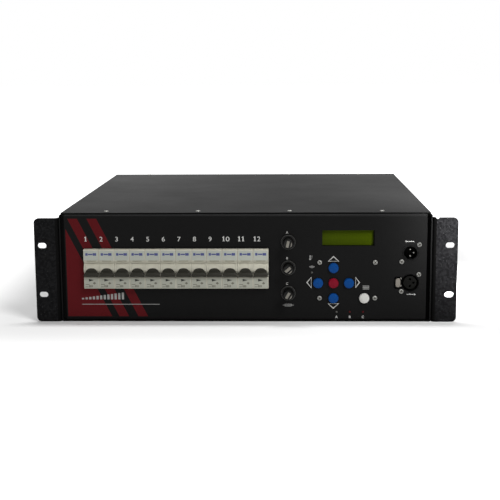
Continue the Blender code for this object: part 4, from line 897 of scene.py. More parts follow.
def rack_ear(side, name):
    """An angle bracket with round plate corners and two slots; the right one has a relief hole."""
    node = f"rack_ear_{name}"
    low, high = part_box(node)
    inner_x, outer_x = (high.x, low.x) if side < 0 else (low.x, high.x)
    shape = bmesh.new()
    path = [(inner_x, high.y), (inner_x, low.y), (outer_x + side * EAR_SHEET, low.y)]
    points = [shape.verts.new((x, y, low.z - EAR_SHEET)) for x, y in path]
    lines = [shape.edges.new(pair) for pair in zip(points, points[1:])]
    drawn = bmesh.ops.extrude_edge_only(shape, edges=lines)
    drawn_out(shape, drawn, (0, 0, high.z - low.z + 2 * EAR_SHEET))
    flange = max(shape.faces, key=lambda face: abs(face.normal.x))
    if flange.normal.x * side > 0:
        bmesh.ops.reverse_faces(shape, faces=shape.faces)
    angle = folded(shape, [], EAR_BEND, EAR_SHEET)
    bmesh.ops.recalc_face_normals(angle, faces=angle.faces)
    middle_z = (low.z + high.z) / 2
    plan_edges = sorted((inner_x - side * 2 * EAR_CORNER, outer_x))
    width = plan_edges[1] - plan_edges[0]
    centre = (sum(plan_edges) / 2, middle_z)
    plan = rounded_rectangle(width, high.z - low.z, EAR_CORNER, centre, 10)
    blank = plate(plan, low.y - EAR_SHEET, high.y + EAR_SHEET)
    angle = combined(angle, blank, "INTERSECT")
    slot_x = outer_x - side * EAR_SLOT_INSET
    tools = []
    for level in BOTH:
        slot = oblong(*EAR_SLOT, (slot_x, middle_z + level * EAR_SLOT_RISE / 2))
        tools.append(plate(slot, low.y - EAR_SHEET, low.y + 2 * EAR_SHEET))
    edges = sorted((inner_x - side * EAR_SHEET, inner_x + side * 2 * EAR_SHEET))
    front, back = low.y + EAR_TAPER_FROM, high.y + EAR_SHEET
    for rim, way in ((high.z, 1), (low.z, -1)):
        past = rim + way * EAR_SHEET
        taper = [(front, past), (back, past), (back, rim - way * EAR_TAPER), (front, rim)]
        tools.append(side_plate(taper, *edges))
    if side > 0:
        tools.append(hole(EAR_NOTCH, inner_x + EAR_NOTCH_INSET, high.z, low.y, 2 * EAR_BEND, 24))
    for tool in tools:
        angle = cut(angle, tool)
    piece(f"{node}_bracket", [(angle, EAR)], replaces=[node], even=True)


# Screws

# How much of a head's radius is flat, and how much of its rise is rounded
SCREW_FACE = 0.62
SCREW_DOME = 0.7
WING_SHARE = 0.27


def cross_wings(reach, near, far):
    wing = block((-reach, near, -reach * WING_SHARE), (reach, far, reach * WING_SHARE))
    other = turned_by(wing.copy(), QUARTER, "Y")
    return combined(wing, other, "UNION")


def cross_screw(radius, rise, recess, depth):
    """A forward-facing pan-head screw: its head, and the floor of its cross recess."""
    face = radius * SCREW_FACE
    profile = [(0, rise)] + quarter_curve((face, rise), radius - face, SCREW_DOME * rise, 8)
    head = lathe(profile + [(radius, 0), (0, 0)], 32)
    head = cut(head, cross_wings(recess, -2 * rise, depth - rise))
    head = cut(head, lathe([(0, rise - depth), (recess * 0.55, 2 * rise), (0, 2 * rise)], 24))
    floor = cross_wings(recess - SEAT, depth - rise - 2 * SEAT, depth - rise + SEAT)
    return head, floor


PANEL_SCREW = cross_screw(0.00275, 0.0015, 0.0019, 0.0010)
SMALL_SCREW = cross_screw(0.0026, 0.0012, 0.0020, 0.0008)
SCREW_TURNS = (0.35, 1.1, 0.0, 0.8, 0.2, 1.3)
FACING = {
    "front": (0, "Z"),
    "rear": (math.pi, "Z"),
    "left": (-QUARTER, "Z"),
    "right": (QUARTER, "Z"),
    "up": (-QUARTER, "X"),
}


def screws(name, design, direction, places):
    """Each screw is its own piece, driven home at its own angle."""
    for index, place in enumerate(places):
        turn = SCREW_TURNS[index % len(SCREW_TURNS)]
        parts = []
        for shape, finish in zip(design, (ZINC, RECESS)):
            driven = turned_by(shape.copy(), turn, "Y")
            parts.append((turned_by(driven, *FACING[direction]), finish))
        piece(f"{name}_{index + 1}", parts, place=place)


COVER_SCREW_XS = (-0.1595, -0.0540, 0.0510, 0.1565)
COVER_SCREW_INSET = 0.010
BOARD_SCREW_CENTRE = (0.1167, 0.0486)
BOARD_SCREW_HALF = (0.03155, 0.02075)
SIGNAL_SCREW = 0.0098
EAR_SCREW_Y = 0.032
EAR_SCREW_ZS = (0.022, 0.0604, 0.099)


def case_screws():
    low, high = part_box("top_cover")
    ends = (low.y + COVER_SCREW_INSET, high.y - COVER_SCREW_INSET)
    places = [(x, y, high.z) for y in ends for x in COVER_SCREW_XS]
    screws("cover_screw", SMALL_SCREW, "up", places)
    places = [(x, FACE_Y, z) for x, z in corners(*BOARD_SCREW_HALF, BOARD_SCREW_CENTRE)]
    screws("board_screw", PANEL_SCREW, "front", places)
    for name, centre_z in (("inlet", SIGNAL_IN_Z), ("link", SIGNAL_LINK_Z)):
        ways = [side * SIGNAL_SCREW for side in BOTH]
        places = [(SIGNAL_X + way, FACE_Y, centre_z + way) for way in ways]
        screws(f"{name}_screw", PANEL_SCREW, "front", places)
    for side, name in zip(BOTH, SIDES):
        low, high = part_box(f"rack_ear_{name}")
        flange_x = (high.x if side < 0 else low.x) + side * EAR_SHEET
        places = [(flange_x, FACE_Y + EAR_SCREW_Y, z) for z in EAR_SCREW_ZS]
        screws(f"ear_{name}_screw", PANEL_SCREW, name, places)


# Breakers: places here are from the panel's face and the row's middle

CHANNELS = 12
BREAKER_WIDTH = 0.0173
BREAKER_EDGE = 0.00025
NOSE_PROUD = 0.006
NOSE_ROUND = 0.0012
SHOULDER_Y = 0.014
BODY_HALF = 0.041
RAIL_Y = 0.0578
BACK_Y = 0.062
GRIP_HALF = 0.0178
PIVOT_Y = 0.0025
RIB_RADIUS = 0.0083
DRUM_RADIUS = 0.0080
DRUM_HALF = 0.0066
DRUM_EDGE = 0.0002
DRUM_GROOVE_X = 0.0030
DRUM_GROOVE = 0.0004
POCKET_HALF = 0.0067
POCKET_GAP = 0.00015
SWING_HALF = math.radians(50)
SWING_REACH = 0.018


def breaker_side():
    """The body's side view, from the nose's upper front corner round to its lower one."""
    nose = NOSE_HEIGHT / 2
    upper = arc(NOSE_ROUND, math.pi, QUARTER, 5, (NOSE_ROUND - NOSE_PROUD, nose - NOSE_ROUND))
    upper += [(SHOULDER_Y, nose), (SHOULDER_Y, BODY_HALF), (BACK_Y, BODY_HALF)]
    upper += [(BACK_Y, GRIP_HALF), (RAIL_Y, GRIP_HALF)]
    return upper + [(y, -z) for y, z in reversed(upper)]


def swept_room():
    """What a lever sweeps about the pivot, beyond the drum."""
    centre = (PIVOT_Y, 0)
    low, high = math.pi - SWING_HALF, math.pi + SWING_HALF
    outline = arc(SWING_REACH, low, high, 16, centre) + arc(RIB_RADIUS, high, low, 24, centre)
    return side_plate(outline, -BREAKER_WIDTH, BREAKER_WIDTH)


def breaker_body():
    half = BREAKER_WIDTH / 2
    body = cut(side_plate(breaker_side(), -half, half), swept_room())
    pocket = circle(RIB_RADIUS + POCKET_GAP, (PIVOT_Y, 0), 64)
    body = cut(body, side_plate(pocket, -POCKET_HALF, POCKET_HALF))
    bmesh.ops.remove_doubles(body, verts=body.verts, dist=WELD)
    return softened(body, BREAKER_EDGE, 2, math.radians(40))


def pocket_wall(share, rise):
    """A point so far down the slope from the nose to the drum, and so high off it."""
    upper = Vector((-NOSE_PROUD, (PIVOT_Y + NOSE_PROUD) * math.tan(SWING_HALF)))
    drum_y = PIVOT_Y - RIB_RADIUS * math.cos(SWING_HALF)
    down = Vector((drum_y, RIB_RADIUS * math.sin(SWING_HALF))) - upper
    off = Vector((down.y, -down.x)).normalized() * rise
    return tuple(upper + down * share + off)


# Width, height and place of the marks on the breaker's labels
LABEL_BLOCKS = (
    (0.0027, 0.0030, (-0.0050, 0.0172)),
    (0.0040, 0.0030, (0.0041, 0.0172)),
    (0.0050, 0.0016, (-0.0007, 0.0172)),
)
LABEL_BARS = (
    (0.0046, 0.0007, (-0.0048, -0.0177)),
    (0.0034, 0.0007, (-0.0054, -0.0205)),
    (0.0010, 0.0026, (-0.0026, -0.0198)),
    (0.0010, 0.0026, (-0.0011, -0.0198)),
    (0.0010, 0.0026, (0.0004, -0.0198)),
)
LABEL_WEDGE = ((-0.0031, -0.0112), (-0.0031, -0.0143), (0.0025, -0.0128))
LABEL_LOZENGE = ((0.0012, -0.0163), (0.0031, -0.0148), (0.0050, -0.0163), (0.0031, -0.0178))
LABEL_SPAN = (-NOSE_PROUD - 0.00005, -NOSE_PROUD + 0.0002)
MARK_SPAN = (-NOSE_PROUD - 0.00009, -NOSE_PROUD - 0.00001)
MARK_CORNER = 0.0002
# A strip of brown print and painted shade across the middle of the pocket's sloped top wall
STRIP_HALF = 0.0052
STRIP_SHARES = (0.10, 0.32)
STRIP_SUNK, STRIP_PROUD = -0.00002, 0.00006


def marks(table):
    return [slab(width, height, MARK_CORNER, place, MARK_SPAN) for width, height, place in table]


def label_marks():
    """Labels and plain marks: blocks on a line above; a wedge, a lozenge and bars below."""
    upper = slab(0.0160, 0.0112, 0.0005, (0, 0.0158), LABEL_SPAN)
    lower = slab(0.0160, 0.0116, 0.0005, (0, -0.0165), LABEL_SPAN)
    near, far = STRIP_SHARES
    strip = [pocket_wall(share, STRIP_SUNK) for share in (near, far)]
    strip += [pocket_wall(share, STRIP_PROUD) for share in (far, near)]
    return [
        (upper, LABEL),
        (lower, LOW_LABEL_SHADED),
        (together(marks(LABEL_BLOCKS)), LABEL_BLUE),
        (plate(LABEL_WEDGE, *MARK_SPAN), LABEL_BLACK),
        (together([plate(LABEL_LOZENGE, *MARK_SPAN), *marks(LABEL_BARS)]), LABEL_GREY),
        (side_plate(strip, -STRIP_HALF, STRIP_HALF), LABEL_BROWN_SHADE),
    ]


def toggle_drum():
    """The lever's drum, with one fine groove round it, about the pivot."""
    inner = DRUM_RADIUS - DRUM_EDGE
    profile = [
        (0, DRUM_HALF),
        (inner, DRUM_HALF),
        (DRUM_RADIUS, DRUM_HALF - DRUM_EDGE),
        (DRUM_RADIUS, DRUM_GROOVE_X + DRUM_GROOVE),
        (inner, DRUM_GROOVE_X + DRUM_GROOVE / 2),
        (inner, DRUM_GROOVE_X - DRUM_GROOVE / 2),
        (DRUM_RADIUS, DRUM_GROOVE_X - DRUM_GROOVE),
        (DRUM_RADIUS, DRUM_EDGE - DRUM_HALF),
        (inner, -DRUM_HALF),
        (0, -DRUM_HALF),
    ]
    return turned_by(lathe(profile, 64), QUARTER, "Z")


LEVER_HALF = 0.0084
LEVER_SKIN = DRUM_RADIUS + 0.00014
LEVER_INNER = 0.0068
LEVER_CLEAR = 0.0091
# The bar's side view, as distances from the pivot and degrees below the level
LEVER_BAR = [(0.0116, 19.5), (0.0132, 27.0), (0.0142, 36.0), (0.0139, 37.6), (0.0085, 44.0)]
# The right half of the lever's front view, from the top of its arch
LEVER_FRONT = [
    (0, 0.0011),
    (0.0022, 0.0009),
    (0.0040, 0.0003),
    (0.0054, -0.0008),
    (DRUM_HALF, -0.0026),
    (DRUM_HALF, -0.0034),
    (LEVER_HALF, -0.0058),
    (LEVER_HALF, -0.0120),
]


def toggle_lever():
    """A black lever: an arched neck that rises from the drum to a full-width bar."""
    points = [(LEVER_SKIN, degrees) for degrees in range(-8, 17, 2)] + LEVER_BAR
    points += [(LEVER_INNER, degrees) for degrees in (44, 36, 26, 16, 8, 2, -8)]
    side = []
    for radius, degrees in points:
        angle = math.radians(degrees)
        side.append((-radius * math.cos(angle), -radius * math.sin(angle)))
    neck = side_plate(side, -LEVER_HALF, LEVER_HALF)
    outline = LEVER_FRONT + [(-x, z) for x, z in reversed(LEVER_FRONT[1:])]
    lever = combined(neck, plate(outline, -0.02, 0.0), "INTERSECT")
    clear = side_plate(circle(LEVER_CLEAR, segments=64), DRUM_HALF, 0.010)
    for turn in (0, math.pi):
        lever = cut(lever, turned_by(clear.copy(), turn, "Z"))
    bmesh.ops.remove_doubles(lever, verts=lever.verts, dist=WELD)
    return softened(lever, 0.0003, 3, math.radians(38))


def breakers():
    moulding = [(breaker_body(), MOULDING), *label_marks()]
    lever = [(toggle_drum(), MOULDING), (toggle_lever(), TOGGLE)]
    for channel in range(1, CHANNELS + 1):
        number = f"{channel:02d}"
        node = f"breaker_body_{number}"
        x = middle(node).x
        piece(f"breaker_{number}_moulding", moulding, replaces=[node], place=(x, FACE_Y, ROW_Z))
        pivot = (x, FACE_Y + PIVOT_Y, ROW_Z)
        node = f"breaker_toggle_{number}"
        piece(f"breaker_{number}_lever", lever, f"toggle_{number}", [node], pivot)


# Fuses

FUSE_FLANGE_RADIUS = 0.00835
FUSE_FLANGE_PROUD = 0.0026
FUSE_RIM = 0.0006
FUSE_BORE_RADIUS = 0.0059
FUSE_BORE_END = -0.018
FUSE_BARREL_RADIUS = 0.0068
FUSE_BARREL_END = -0.036
FUSE_CAP_RADIUS = 0.0056
FUSE_CAP_FOOT = -0.0177
FUSE_CAP_END = 0.0053
FUSE_CAP_PROUD = 0.016
FUSE_CAP_RIBS = 30
FUSE_RIB_GROOVE = 0.00022
FUSE_SEAT_DEPTH = 0.0006
FUSE_SLOT_DEGREES = (78, 42, 60)


def fuse_holder():
    """A flanged barrel, and the rim of its flange, coloured lighter as a painted highlight."""
    inner = FUSE_FLANGE_RADIUS - FUSE_RIM
    profile = [
        (0, FUSE_BORE_END),
        (FUSE_BORE_RADIUS, FUSE_BORE_END),
        (FUSE_BORE_RADIUS, FUSE_FLANGE_PROUD - 0.0004),
        (FUSE_BORE_RADIUS + 0.0004, FUSE_FLANGE_PROUD),
        (inner - 0.0002, FUSE_FLANGE_PROUD),
        (inner - 0.0002, SHEET_GAP),
        (FUSE_BARREL_RADIUS, SHEET_GAP),
        (FUSE_BARREL_RADIUS, FUSE_BARREL_END),
        (0, FUSE_BARREL_END),
    ]
    rim = [(inner, SHEET_GAP), (inner, FUSE_FLANGE_PROUD - 0.0002)]
    rim += rounded_rim(FUSE_FLANGE_RADIUS, 0.0004, FUSE_FLANGE_PROUD, 4)
    rim += [(FUSE_FLANGE_RADIUS, SHEET_GAP), (inner, SHEET_GAP)]
    return lathe(profile, 64), lathe(rim, 64)


def fuse_cap():
    """The knob with fine ribs along its side and a sunk seat for its metal insert."""
    seat = FUSE_CAP_PROUD - FUSE_SEAT_DEPTH
    profile = [(0, seat), (FUSE_CAP_END - 0.0006, seat)]
    profile += rounded_rim(FUSE_CAP_END, 0.0005, FUSE_CAP_PROUD, 4)
    profile += [(FUSE_CAP_RADIUS, FUSE_FLANGE_PROUD), (FUSE_CAP_RADIUS, FUSE_CAP_FOOT)]
    knob = lathe(profile + [(0, FUSE_CAP_FOOT)], 64)
    start = (FUSE_CAP_RADIUS + 0.0001, -FUSE_FLANGE_PROUD - 0.0012, 0)
    end = (FUSE_CAP_END + 0.0001, -FUSE_CAP_PROUD + 0.0013, 0)
    return cut(knob, all_round(rod(FUSE_RIB_GROOVE, start, end, 6), FUSE_CAP_RIBS))


def cap_insert():
    """A metal end plate: a square-ended bar, and below it a crescent of the same metal as a painted
    reflection of the knob's rounded edge.
    """
    span = (-FUSE_CAP_PROUD - 0.0001, -FUSE_CAP_PROUD + FUSE_SEAT_DEPTH + SEAT)
    bar = slab(0.0076, 0.0031, 0.0004, (0, 0.0006), span)
    beyond = block((-0.006, -0.02, -0.006), (0.006, 0, -0.0029))
    # Painted reflection: a crescent of light metal below the bar, where the knob's rounded edge
    # shows a reflection arc
    reflection_crescent = combined(plate(circle(0.0041), *span), beyond, "INTERSECT")
    return together([softened(bar, 0.0002), softened(reflection_crescent, 0.0001, 1)])


def fuses():
    holder, rim = fuse_holder()
    cap = fuse_cap()
    insert = cap_insert()
    for letter, degrees in zip(FUSE_LETTERS, FUSE_SLOT_DEGREES):
        node = f"fuse_holder_{letter}"
        place = on_face(node)
        parts = [(holder, GLOSS), (rim, RIM_HIGHLIGHT)]
        piece(f"fuse_{letter}_holder", parts, replaces=[node], place=place)
        slotted = turned_by(insert.copy(), -math.radians(degrees), "Y")
        parts = [(cap, GLOSS), (slotted, END_PLATE_AND_REFLECTION)]
        piece(f"fuse_{letter}_cap", parts, f"cap_{letter}", [f"fuse_cap_{letter}"], place)


# Keypad and display

KEY_RADIUS = 0.0057
KEY_RIM = 0.0009
KEY_PROUD = 0.0034
KEY_SKIRT_RADIUS = 0.0066
KEY_SKIRT = 0.0013
KEY_STEM_RADIUS = 0.002
KEY_CROWN = 0.0005


def key_cap(stem_end):
    """A key with a gentle crown, a round rim, a skirt behind the panel and a stem."""
    profile = []
    for step in range(7):
        share = step / 6
        profile.append(((KEY_RADIUS - KEY_RIM) * share, KEY_PROUD - KEY_CROWN * share**2))
    profile += rounded_rim(KEY_RADIUS, KEY_RIM, KEY_PROUD - KEY_CROWN, 6)[1:]
    profile += [
        (KEY_RADIUS, -PANEL_BACK),
        (KEY_SKIRT_RADIUS, -PANEL_BACK),
        (KEY_SKIRT_RADIUS, -PANEL_BACK - KEY_SKIRT),
        (KEY_STEM_RADIUS, -PANEL_BACK - KEY_SKIRT),
        (KEY_STEM_RADIUS, stem_end),
        (0, stem_end),
    ]
    return lathe(profile, 64)


def keypad():
    cap = key_cap(FACE_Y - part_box("button_up")[1].y)
    finishes = {"enter": RED_KEY, "menu": WHITE_KEY}
    for name in KEY_NAMES:
        parts = [(cap, finishes.get(name, BLUE_KEY))]
        node = f"button_{name}"
        piece(f"{name}_key", parts, f"key_{name}", [node], on_face(node))


LIT_LEFT, LIT_RIGHT = 0.0868, 0.1462
LIT_LOW, LIT_HIGH = 0.0884, 0.1072
DISPLAY_FRAME_DEPTH = 0.0064
GLASS_INSET = 0.0008


def display():
    """The display: its circuit board, pressed black frame and green window."""
    low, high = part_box("display_module")
    frame_back = low.y + DISPLAY_FRAME_DEPTH
    glass_y = low.y + GLASS_INSET
    shell = softened(block(low, (high.x, frame_back, high.z)), 0.0005, 3)
    window = block((LIT_LEFT, low.y - 0.01, LIT_LOW), (LIT_RIGHT, glass_y + 0.0006, LIT_HIGH))
    shell = cut(shell, window)
    board = block((low.x, frame_back + SEAT, low.z), high)
    glass = block(
        (LIT_LEFT + SEAT, glass_y, LIT_LOW + SEAT),
        (LIT_RIGHT - SEAT, glass_y + 0.0005, LIT_HIGH - SEAT),
    )
    piece("display_frame", [(shell, DEEP), (board, BOARD)], replaces=["display_module"])
    piece("display_window", [(softened(glass, 0.0001, 1), SCREEN)])


# Signal sockets

CONTACT_CIRCLE = 0.0039
CONTACT_PLACES = ((0, CONTACT_CIRCLE), (CONTACT_CIRCLE, 0), (0, -CONTACT_CIRCLE))
PIN_RADIUS = 0.0010
PIN_TIP, PIN_NECK = -0.0024, -0.0036
PLUG_RADIUS = 0.0076
CUP_DEPTH = 0.0145
SOCKET_BODY = 0.024
SOCKET_HALF = 0.013
FLANGE_SHEET = 0.0025


def signal_inlet():
    """A deep cup with a keyway at its foot and three round-tipped pins."""
    cup = [
        (0, -CUP_DEPTH),
        (PLUG_RADIUS, -CUP_DEPTH),
        (PLUG_RADIUS, -0.0022),
        (INLET_OUTER_RADIUS, -0.0022),
        (INLET_OUTER_RADIUS, -SOCKET_BODY),
        (0, -SOCKET_BODY),
    ]
    collar = [
        (PLUG_RADIUS, -0.0021),
        (PLUG_RADIUS, -0.0004),
        (PLUG_RADIUS + 0.0003, 0.0001),
        (INLET_OUTER_RADIUS - 0.0002, 0.0001),
        (INLET_OUTER_RADIUS, -0.0001),
        (INLET_OUTER_RADIUS, -0.0021),
        (PLUG_RADIUS, -0.0021),
    ]
    foot = -PLUG_RADIUS
    key = block((-0.0011, 0.0005, foot - 0.0002), (0.0011, CUP_DEPTH - 0.001, foot + 0.0014))
    flange = block(
        (-SOCKET_HALF, PANEL_BACK, -SOCKET_HALF),
        (SOCKET_HALF, PANEL_BACK + FLANGE_SHEET, SOCKET_HALF),
    )
    flange = cut(flange, hole(INLET_OUTER_RADIUS - 0.0004, 0, 0, PANEL_BACK, 0.01))
    tip = [(0, PIN_TIP)] + rounded_rim(PIN_RADIUS, 0.0009, PIN_TIP, 5)[1:]
    tip += [(PIN_RADIUS, PIN_NECK), (0, PIN_NECK)]
    near, far = PIN_NECK - SEAT, -CUP_DEPTH - 0.0005
    shank = [(0, near), (PIN_RADIUS, near), (PIN_RADIUS, far), (0, far)]
    parts = [
        (lathe(cup, 64), DEEP),
        (lathe(collar, 64), SATIN),
        (flange, BLACK),
        (key, DEEP),
        (copies(lathe(tip, 24), CONTACT_PLACES), TIN),
        (copies(lathe(shank, 24), CONTACT_PLACES), RECESS),
    ]
    piece("signal_inlet_shell", parts, replaces=["signal_inlet"], place=on_face("signal_inlet"))


INSERT_FRONT = -0.0010
BUSH_RADIUS = 0.0014
LATCH_POCKET = (0.0066, 0.0114, 0.0017)
LATCH_POCKET_DEPTH = 0.0077
HOUSING_BACK = 0.0105
SPRING_X = 0.0037
# Height and lean of the two spring ends beside the latch
SPRING_ENDS = ((0.0047, -0.4), (-0.0037, 0.4))


def signal_link():
    """A shell round an insert with three bushed contacts, and the latch's housing beside it."""
    shell = [
        (PLUG_RADIUS, -CUP_DEPTH),
        (0.0092, -CUP_DEPTH),
        (0.0092, -0.0004),
        (0.0095, 0.0001),
        (0.0098, 0.0001),
        (LINK_SHELL_RADIUS, -0.0002),
        (LINK_SHELL_RADIUS, -SOCKET_BODY),
        (0, -SOCKET_BODY),
        (0, -CUP_DEPTH - SEAT),
        (PLUG_RADIUS, -CUP_DEPTH - SEAT),
    ]
    insert = [(0, INSERT_FRONT)] + rounded_rim(PLUG_RADIUS, 0.0005, INSERT_FRONT, 4)
    insert += [(PLUG_RADIUS, SEAT - CUP_DEPTH), (0, SEAT - CUP_DEPTH)]
    bores = copies(hole(BUSH_RADIUS, 0, 0, 0, segments=24), CONTACT_PLACES)
    core = cut(lathe(insert, 64), bores)
    bush = lathe(tube(0.0011, BUSH_RADIUS, -0.0055, -0.0024), 24)
    latch_x = middle("link_latch").x - SIGNAL_X
    housing = block(
        (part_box("signal_link")[0].x - SIGNAL_X, PANEL_BACK, -SOCKET_HALF),
        (SOCKET_HALF, HOUSING_BACK, SOCKET_HALF),
    )
    housing = cut(housing, hole(LINK_SHELL_RADIUS - 0.0003, 0, 0, PANEL_BACK, 0.02))
    housing = cut(housing, slab(*LATCH_POCKET, (latch_x, 0), (0, LATCH_POCKET_DEPTH)))
    end = block((-0.0004, PANEL_BACK - 0.0004, -0.0011), (0.0004, PANEL_BACK + 0.0003, 0.0011))
    softened(end, 0.0001)
    springs = [
        moved(turned_by(end.copy(), lean, "Y"), latch_x + SPRING_X, 0, level)
        for level, lean in SPRING_ENDS
    ]
    parts = [
        (lathe(shell, 64), DEEP),
        (core, INSERT),
        (copies(bush, CONTACT_PLACES), DEEP),
        (housing, DEEP),
        (together(springs), TIN),
    ]
    place = (SIGNAL_X, FACE_Y, SIGNAL_LINK_Z)
    piece("signal_link_shell", parts, replaces=["signal_link"], place=place)


LATCH_SHARES = (0.9, 0.97)


def link_latch():
    low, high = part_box("link_latch")
    width, height = LATCH_SHARES[0] * (high.x - low.x), LATCH_SHARES[1] * (high.z - low.z)
    tab = slab(width, height, 0.0025, (0, 0), (low.y - FACE_Y, high.y - FACE_Y))
    parts = [(softened(tab, 0.0004, 3), TAB)]
    piece("link_latch_tab", parts, "latch", ["link_latch"], on_face("link_latch"))


# Lamps and print

# Where each lamp is, and its finish
INDICATORS = {
    "status_lamp": (0.0763, 0.0577, LAMP_CLEAR),
    "phase_lamp_a": (0.1047, 0.0116, LAMP_CLEAR),
    "phase_lamp_b": (0.1198, 0.0116, LAMP_RED),
    "phase_lamp_c": (0.1349, 0.0116, LAMP_RED),
}
LAMP_RADIUS = 0.0012
LAMP_PROUD = 0.0009


def lamps():
    profile = quarter_curve((0, LAMP_PROUD), LAMP_RADIUS, LAMP_PROUD, 6)
    dome = lathe(profile + [(0, 0)], 32)
    for name, (x, z, finish) in INDICATORS.items():
        piece(name, [(dome, finish)], place=(x, FACE_Y, z))


PRINT_RISE = 0.00006
PRINT_SPAN = (FACE_Y - PRINT_RISE, FACE_Y - 0.000005)
THROUGH_PRINT = (FACE_Y - 0.001, FACE_Y + 0.001)
# How tall a capital or a figure is, as a share of the font's size
CAPITAL_SHARE = 0.73


def lettered(text, height, x, z, weight, widening=1.0):
    """A plain number or letter as a thin raised shape on the panel's face."""
    curve = bpy.data.curves.new(text, "FONT")
    curve.body = text
    curve.size = height / CAPITAL_SHARE
    curve.offset = weight
    curve.extrude = PRINT_RISE / 2
    curve.align_x = "CENTER"
    curve.resolution_u = 6
    held = put(text, curve)
    graph = bpy.context.evaluated_depsgraph_get()
    mesh = bpy.data.meshes.new_from_object(held.evaluated_get(graph))
    bpy.data.objects.remove(held)
    shape = bmesh.new()
    shape.from_mesh(mesh)
    bmesh.ops.remove_doubles(shape, verts=shape.verts, dist=WELD)
    turned_by(shape, QUARTER, "X")
    bmesh.ops.scale(shape, vec=(widening, 1, 1), verts=shape.verts)
    return moved(shape, x, FACE_Y - PRINT_RISE / 2, z - height / 2)


def printed(outline):
    return plate(outline, *PRINT_SPAN)


def stroke(width, height, corner, x, z):
    """A printed bar with round corners about a place."""
    return slab(width, height, corner, (x, z), PRINT_SPAN)


def printed_ring(points, width):
    """A printed line along a polygon, so wide inwards from its corners."""
    centre = Vector([sum(axis) for axis in zip(*points)]) / len(points)
    inner = []
    for point in points:
        away = Vector(point) - centre
        inner.append(tuple(centre + away * (1 - 2 * width / away.length)))
    return cut(printed(points), plate(inner, *THROUGH_PRINT))


NUMBER_FIRST_X = -0.1821
NUMBER_PITCH = 0.01781
NUMBER_Z = 0.0967
NUMBER_HEIGHT = 0.0056
NUMBER_WEIGHT = 0.00003
# A figure one with a flag and a foot, in shares of its height
FIGURE_ONE = (
    (-0.22, 0.0), (0.24, 0.0), (0.24, 0.11), (0.11, 0.11), (0.11, 1.0), (-0.03, 1.0),
    (-0.26, 0.85), (-0.26, 0.71), (-0.10, 0.78), (-0.10, 0.11), (-0.22, 0.11),
)
# The second figure's own place and widening, by the number's last figure
SECOND_FIGURE = {"0": (0.0022, 1.25), "1": (0.0019, 1.0), "2": (0.0020, 1.05)}
FIRST_FIGURE_X = -0.0024


def figure(text, x, widening=1.05):
    if text == "1":
        low = NUMBER_Z - NUMBER_HEIGHT / 2
        return printed([(x + NUMBER_HEIGHT * a, low + NUMBER_HEIGHT * b) for a, b in FIGURE_ONE])
    return lettered(text, NUMBER_HEIGHT, x, NUMBER_Z, NUMBER_WEIGHT, widening)


def channel_number(number, x):
    label = str(number)
    if number < 10:
        return figure(label, x)
    place, widening = SECOND_FIGURE[label[1]]
    return together([figure("1", x + FIRST_FIGURE_X), figure(label[1], x + place, widening)])


FUSE_LETTER_HEIGHT = 0.0027
FUSE_LETTER_WEIGHT = 0.00006
FUSE_LETTER_X, FUSE_LETTER_Z = -0.0013, 0.0112
PHASE_LETTER_HEIGHT = 0.0030
PHASE_LETTER_WEIGHT = 0.00005
PHASE_LETTER_Z = 0.0058
ARROWS = {
    "up": ((0.1009, 0.0768), (0.0944, 0.0705), (0.1074, 0.0705)),
    "down": ((0.1009, 0.0152), (0.1074, 0.0215), (0.0944, 0.0215)),
    "left": ((0.0700, 0.0460), (0.0758, 0.0392), (0.0758, 0.0528)),
    "right": ((0.1312, 0.0460), (0.1260, 0.0526), (0.1260, 0.0394)),
}
ARROW_LINE = 0.00068


def panel_print():
    """Channel numbers, fuse and lamp letters, and key arrows."""
    for index in range(CHANNELS):
        shape = channel_number(index + 1, NUMBER_FIRST_X + index * NUMBER_PITCH)
        piece(f"channel_number_{index + 1:02d}", [(shape, PRINT_WHITE)])
    for row in FUSE_LETTERS:
        fuse = middle(f"fuse_holder_{row}")
        x, z = fuse.x + FUSE_LETTER_X, fuse.z + FUSE_LETTER_Z
        shape = lettered(row.upper(), FUSE_LETTER_HEIGHT, x, z, FUSE_LETTER_WEIGHT)
        piece(f"fuse_letter_{row}", [(shape, PRINT_PALE)])
        x = INDICATORS[f"phase_lamp_{row}"][0]
        shape = lettered(row.upper(), PHASE_LETTER_HEIGHT, x, PHASE_LETTER_Z, PHASE_LETTER_WEIGHT)
        piece(f"phase_letter_{row}", [(shape, PRINT_WHITE)])
    for name, points in ARROWS.items():
        piece(f"{name}_arrow", [(printed_ring(points, ARROW_LINE), PRINT_PALE)])


def sign(name, *shapes):
    piece(name, [(shape, PRINT_GREY) for shape in shapes])


LEVEL_BARS = 12
LEVEL_LEFT, LEVEL_LOW = -0.1885, 0.0262
LEVEL_PITCH, LEVEL_WIDTH = 0.0042, 0.0026
LEVEL_FIRST, LEVEL_GROWTH = 0.0018, 0.0062
FUSE_SIGN_Z = 0.0196
HEAT_SIGN_X = 0.0742
SIGNAL_ARROWS = (("inlet", 0.1877, 0.0934, -1), ("link", 0.1885, 0.0322, 1))


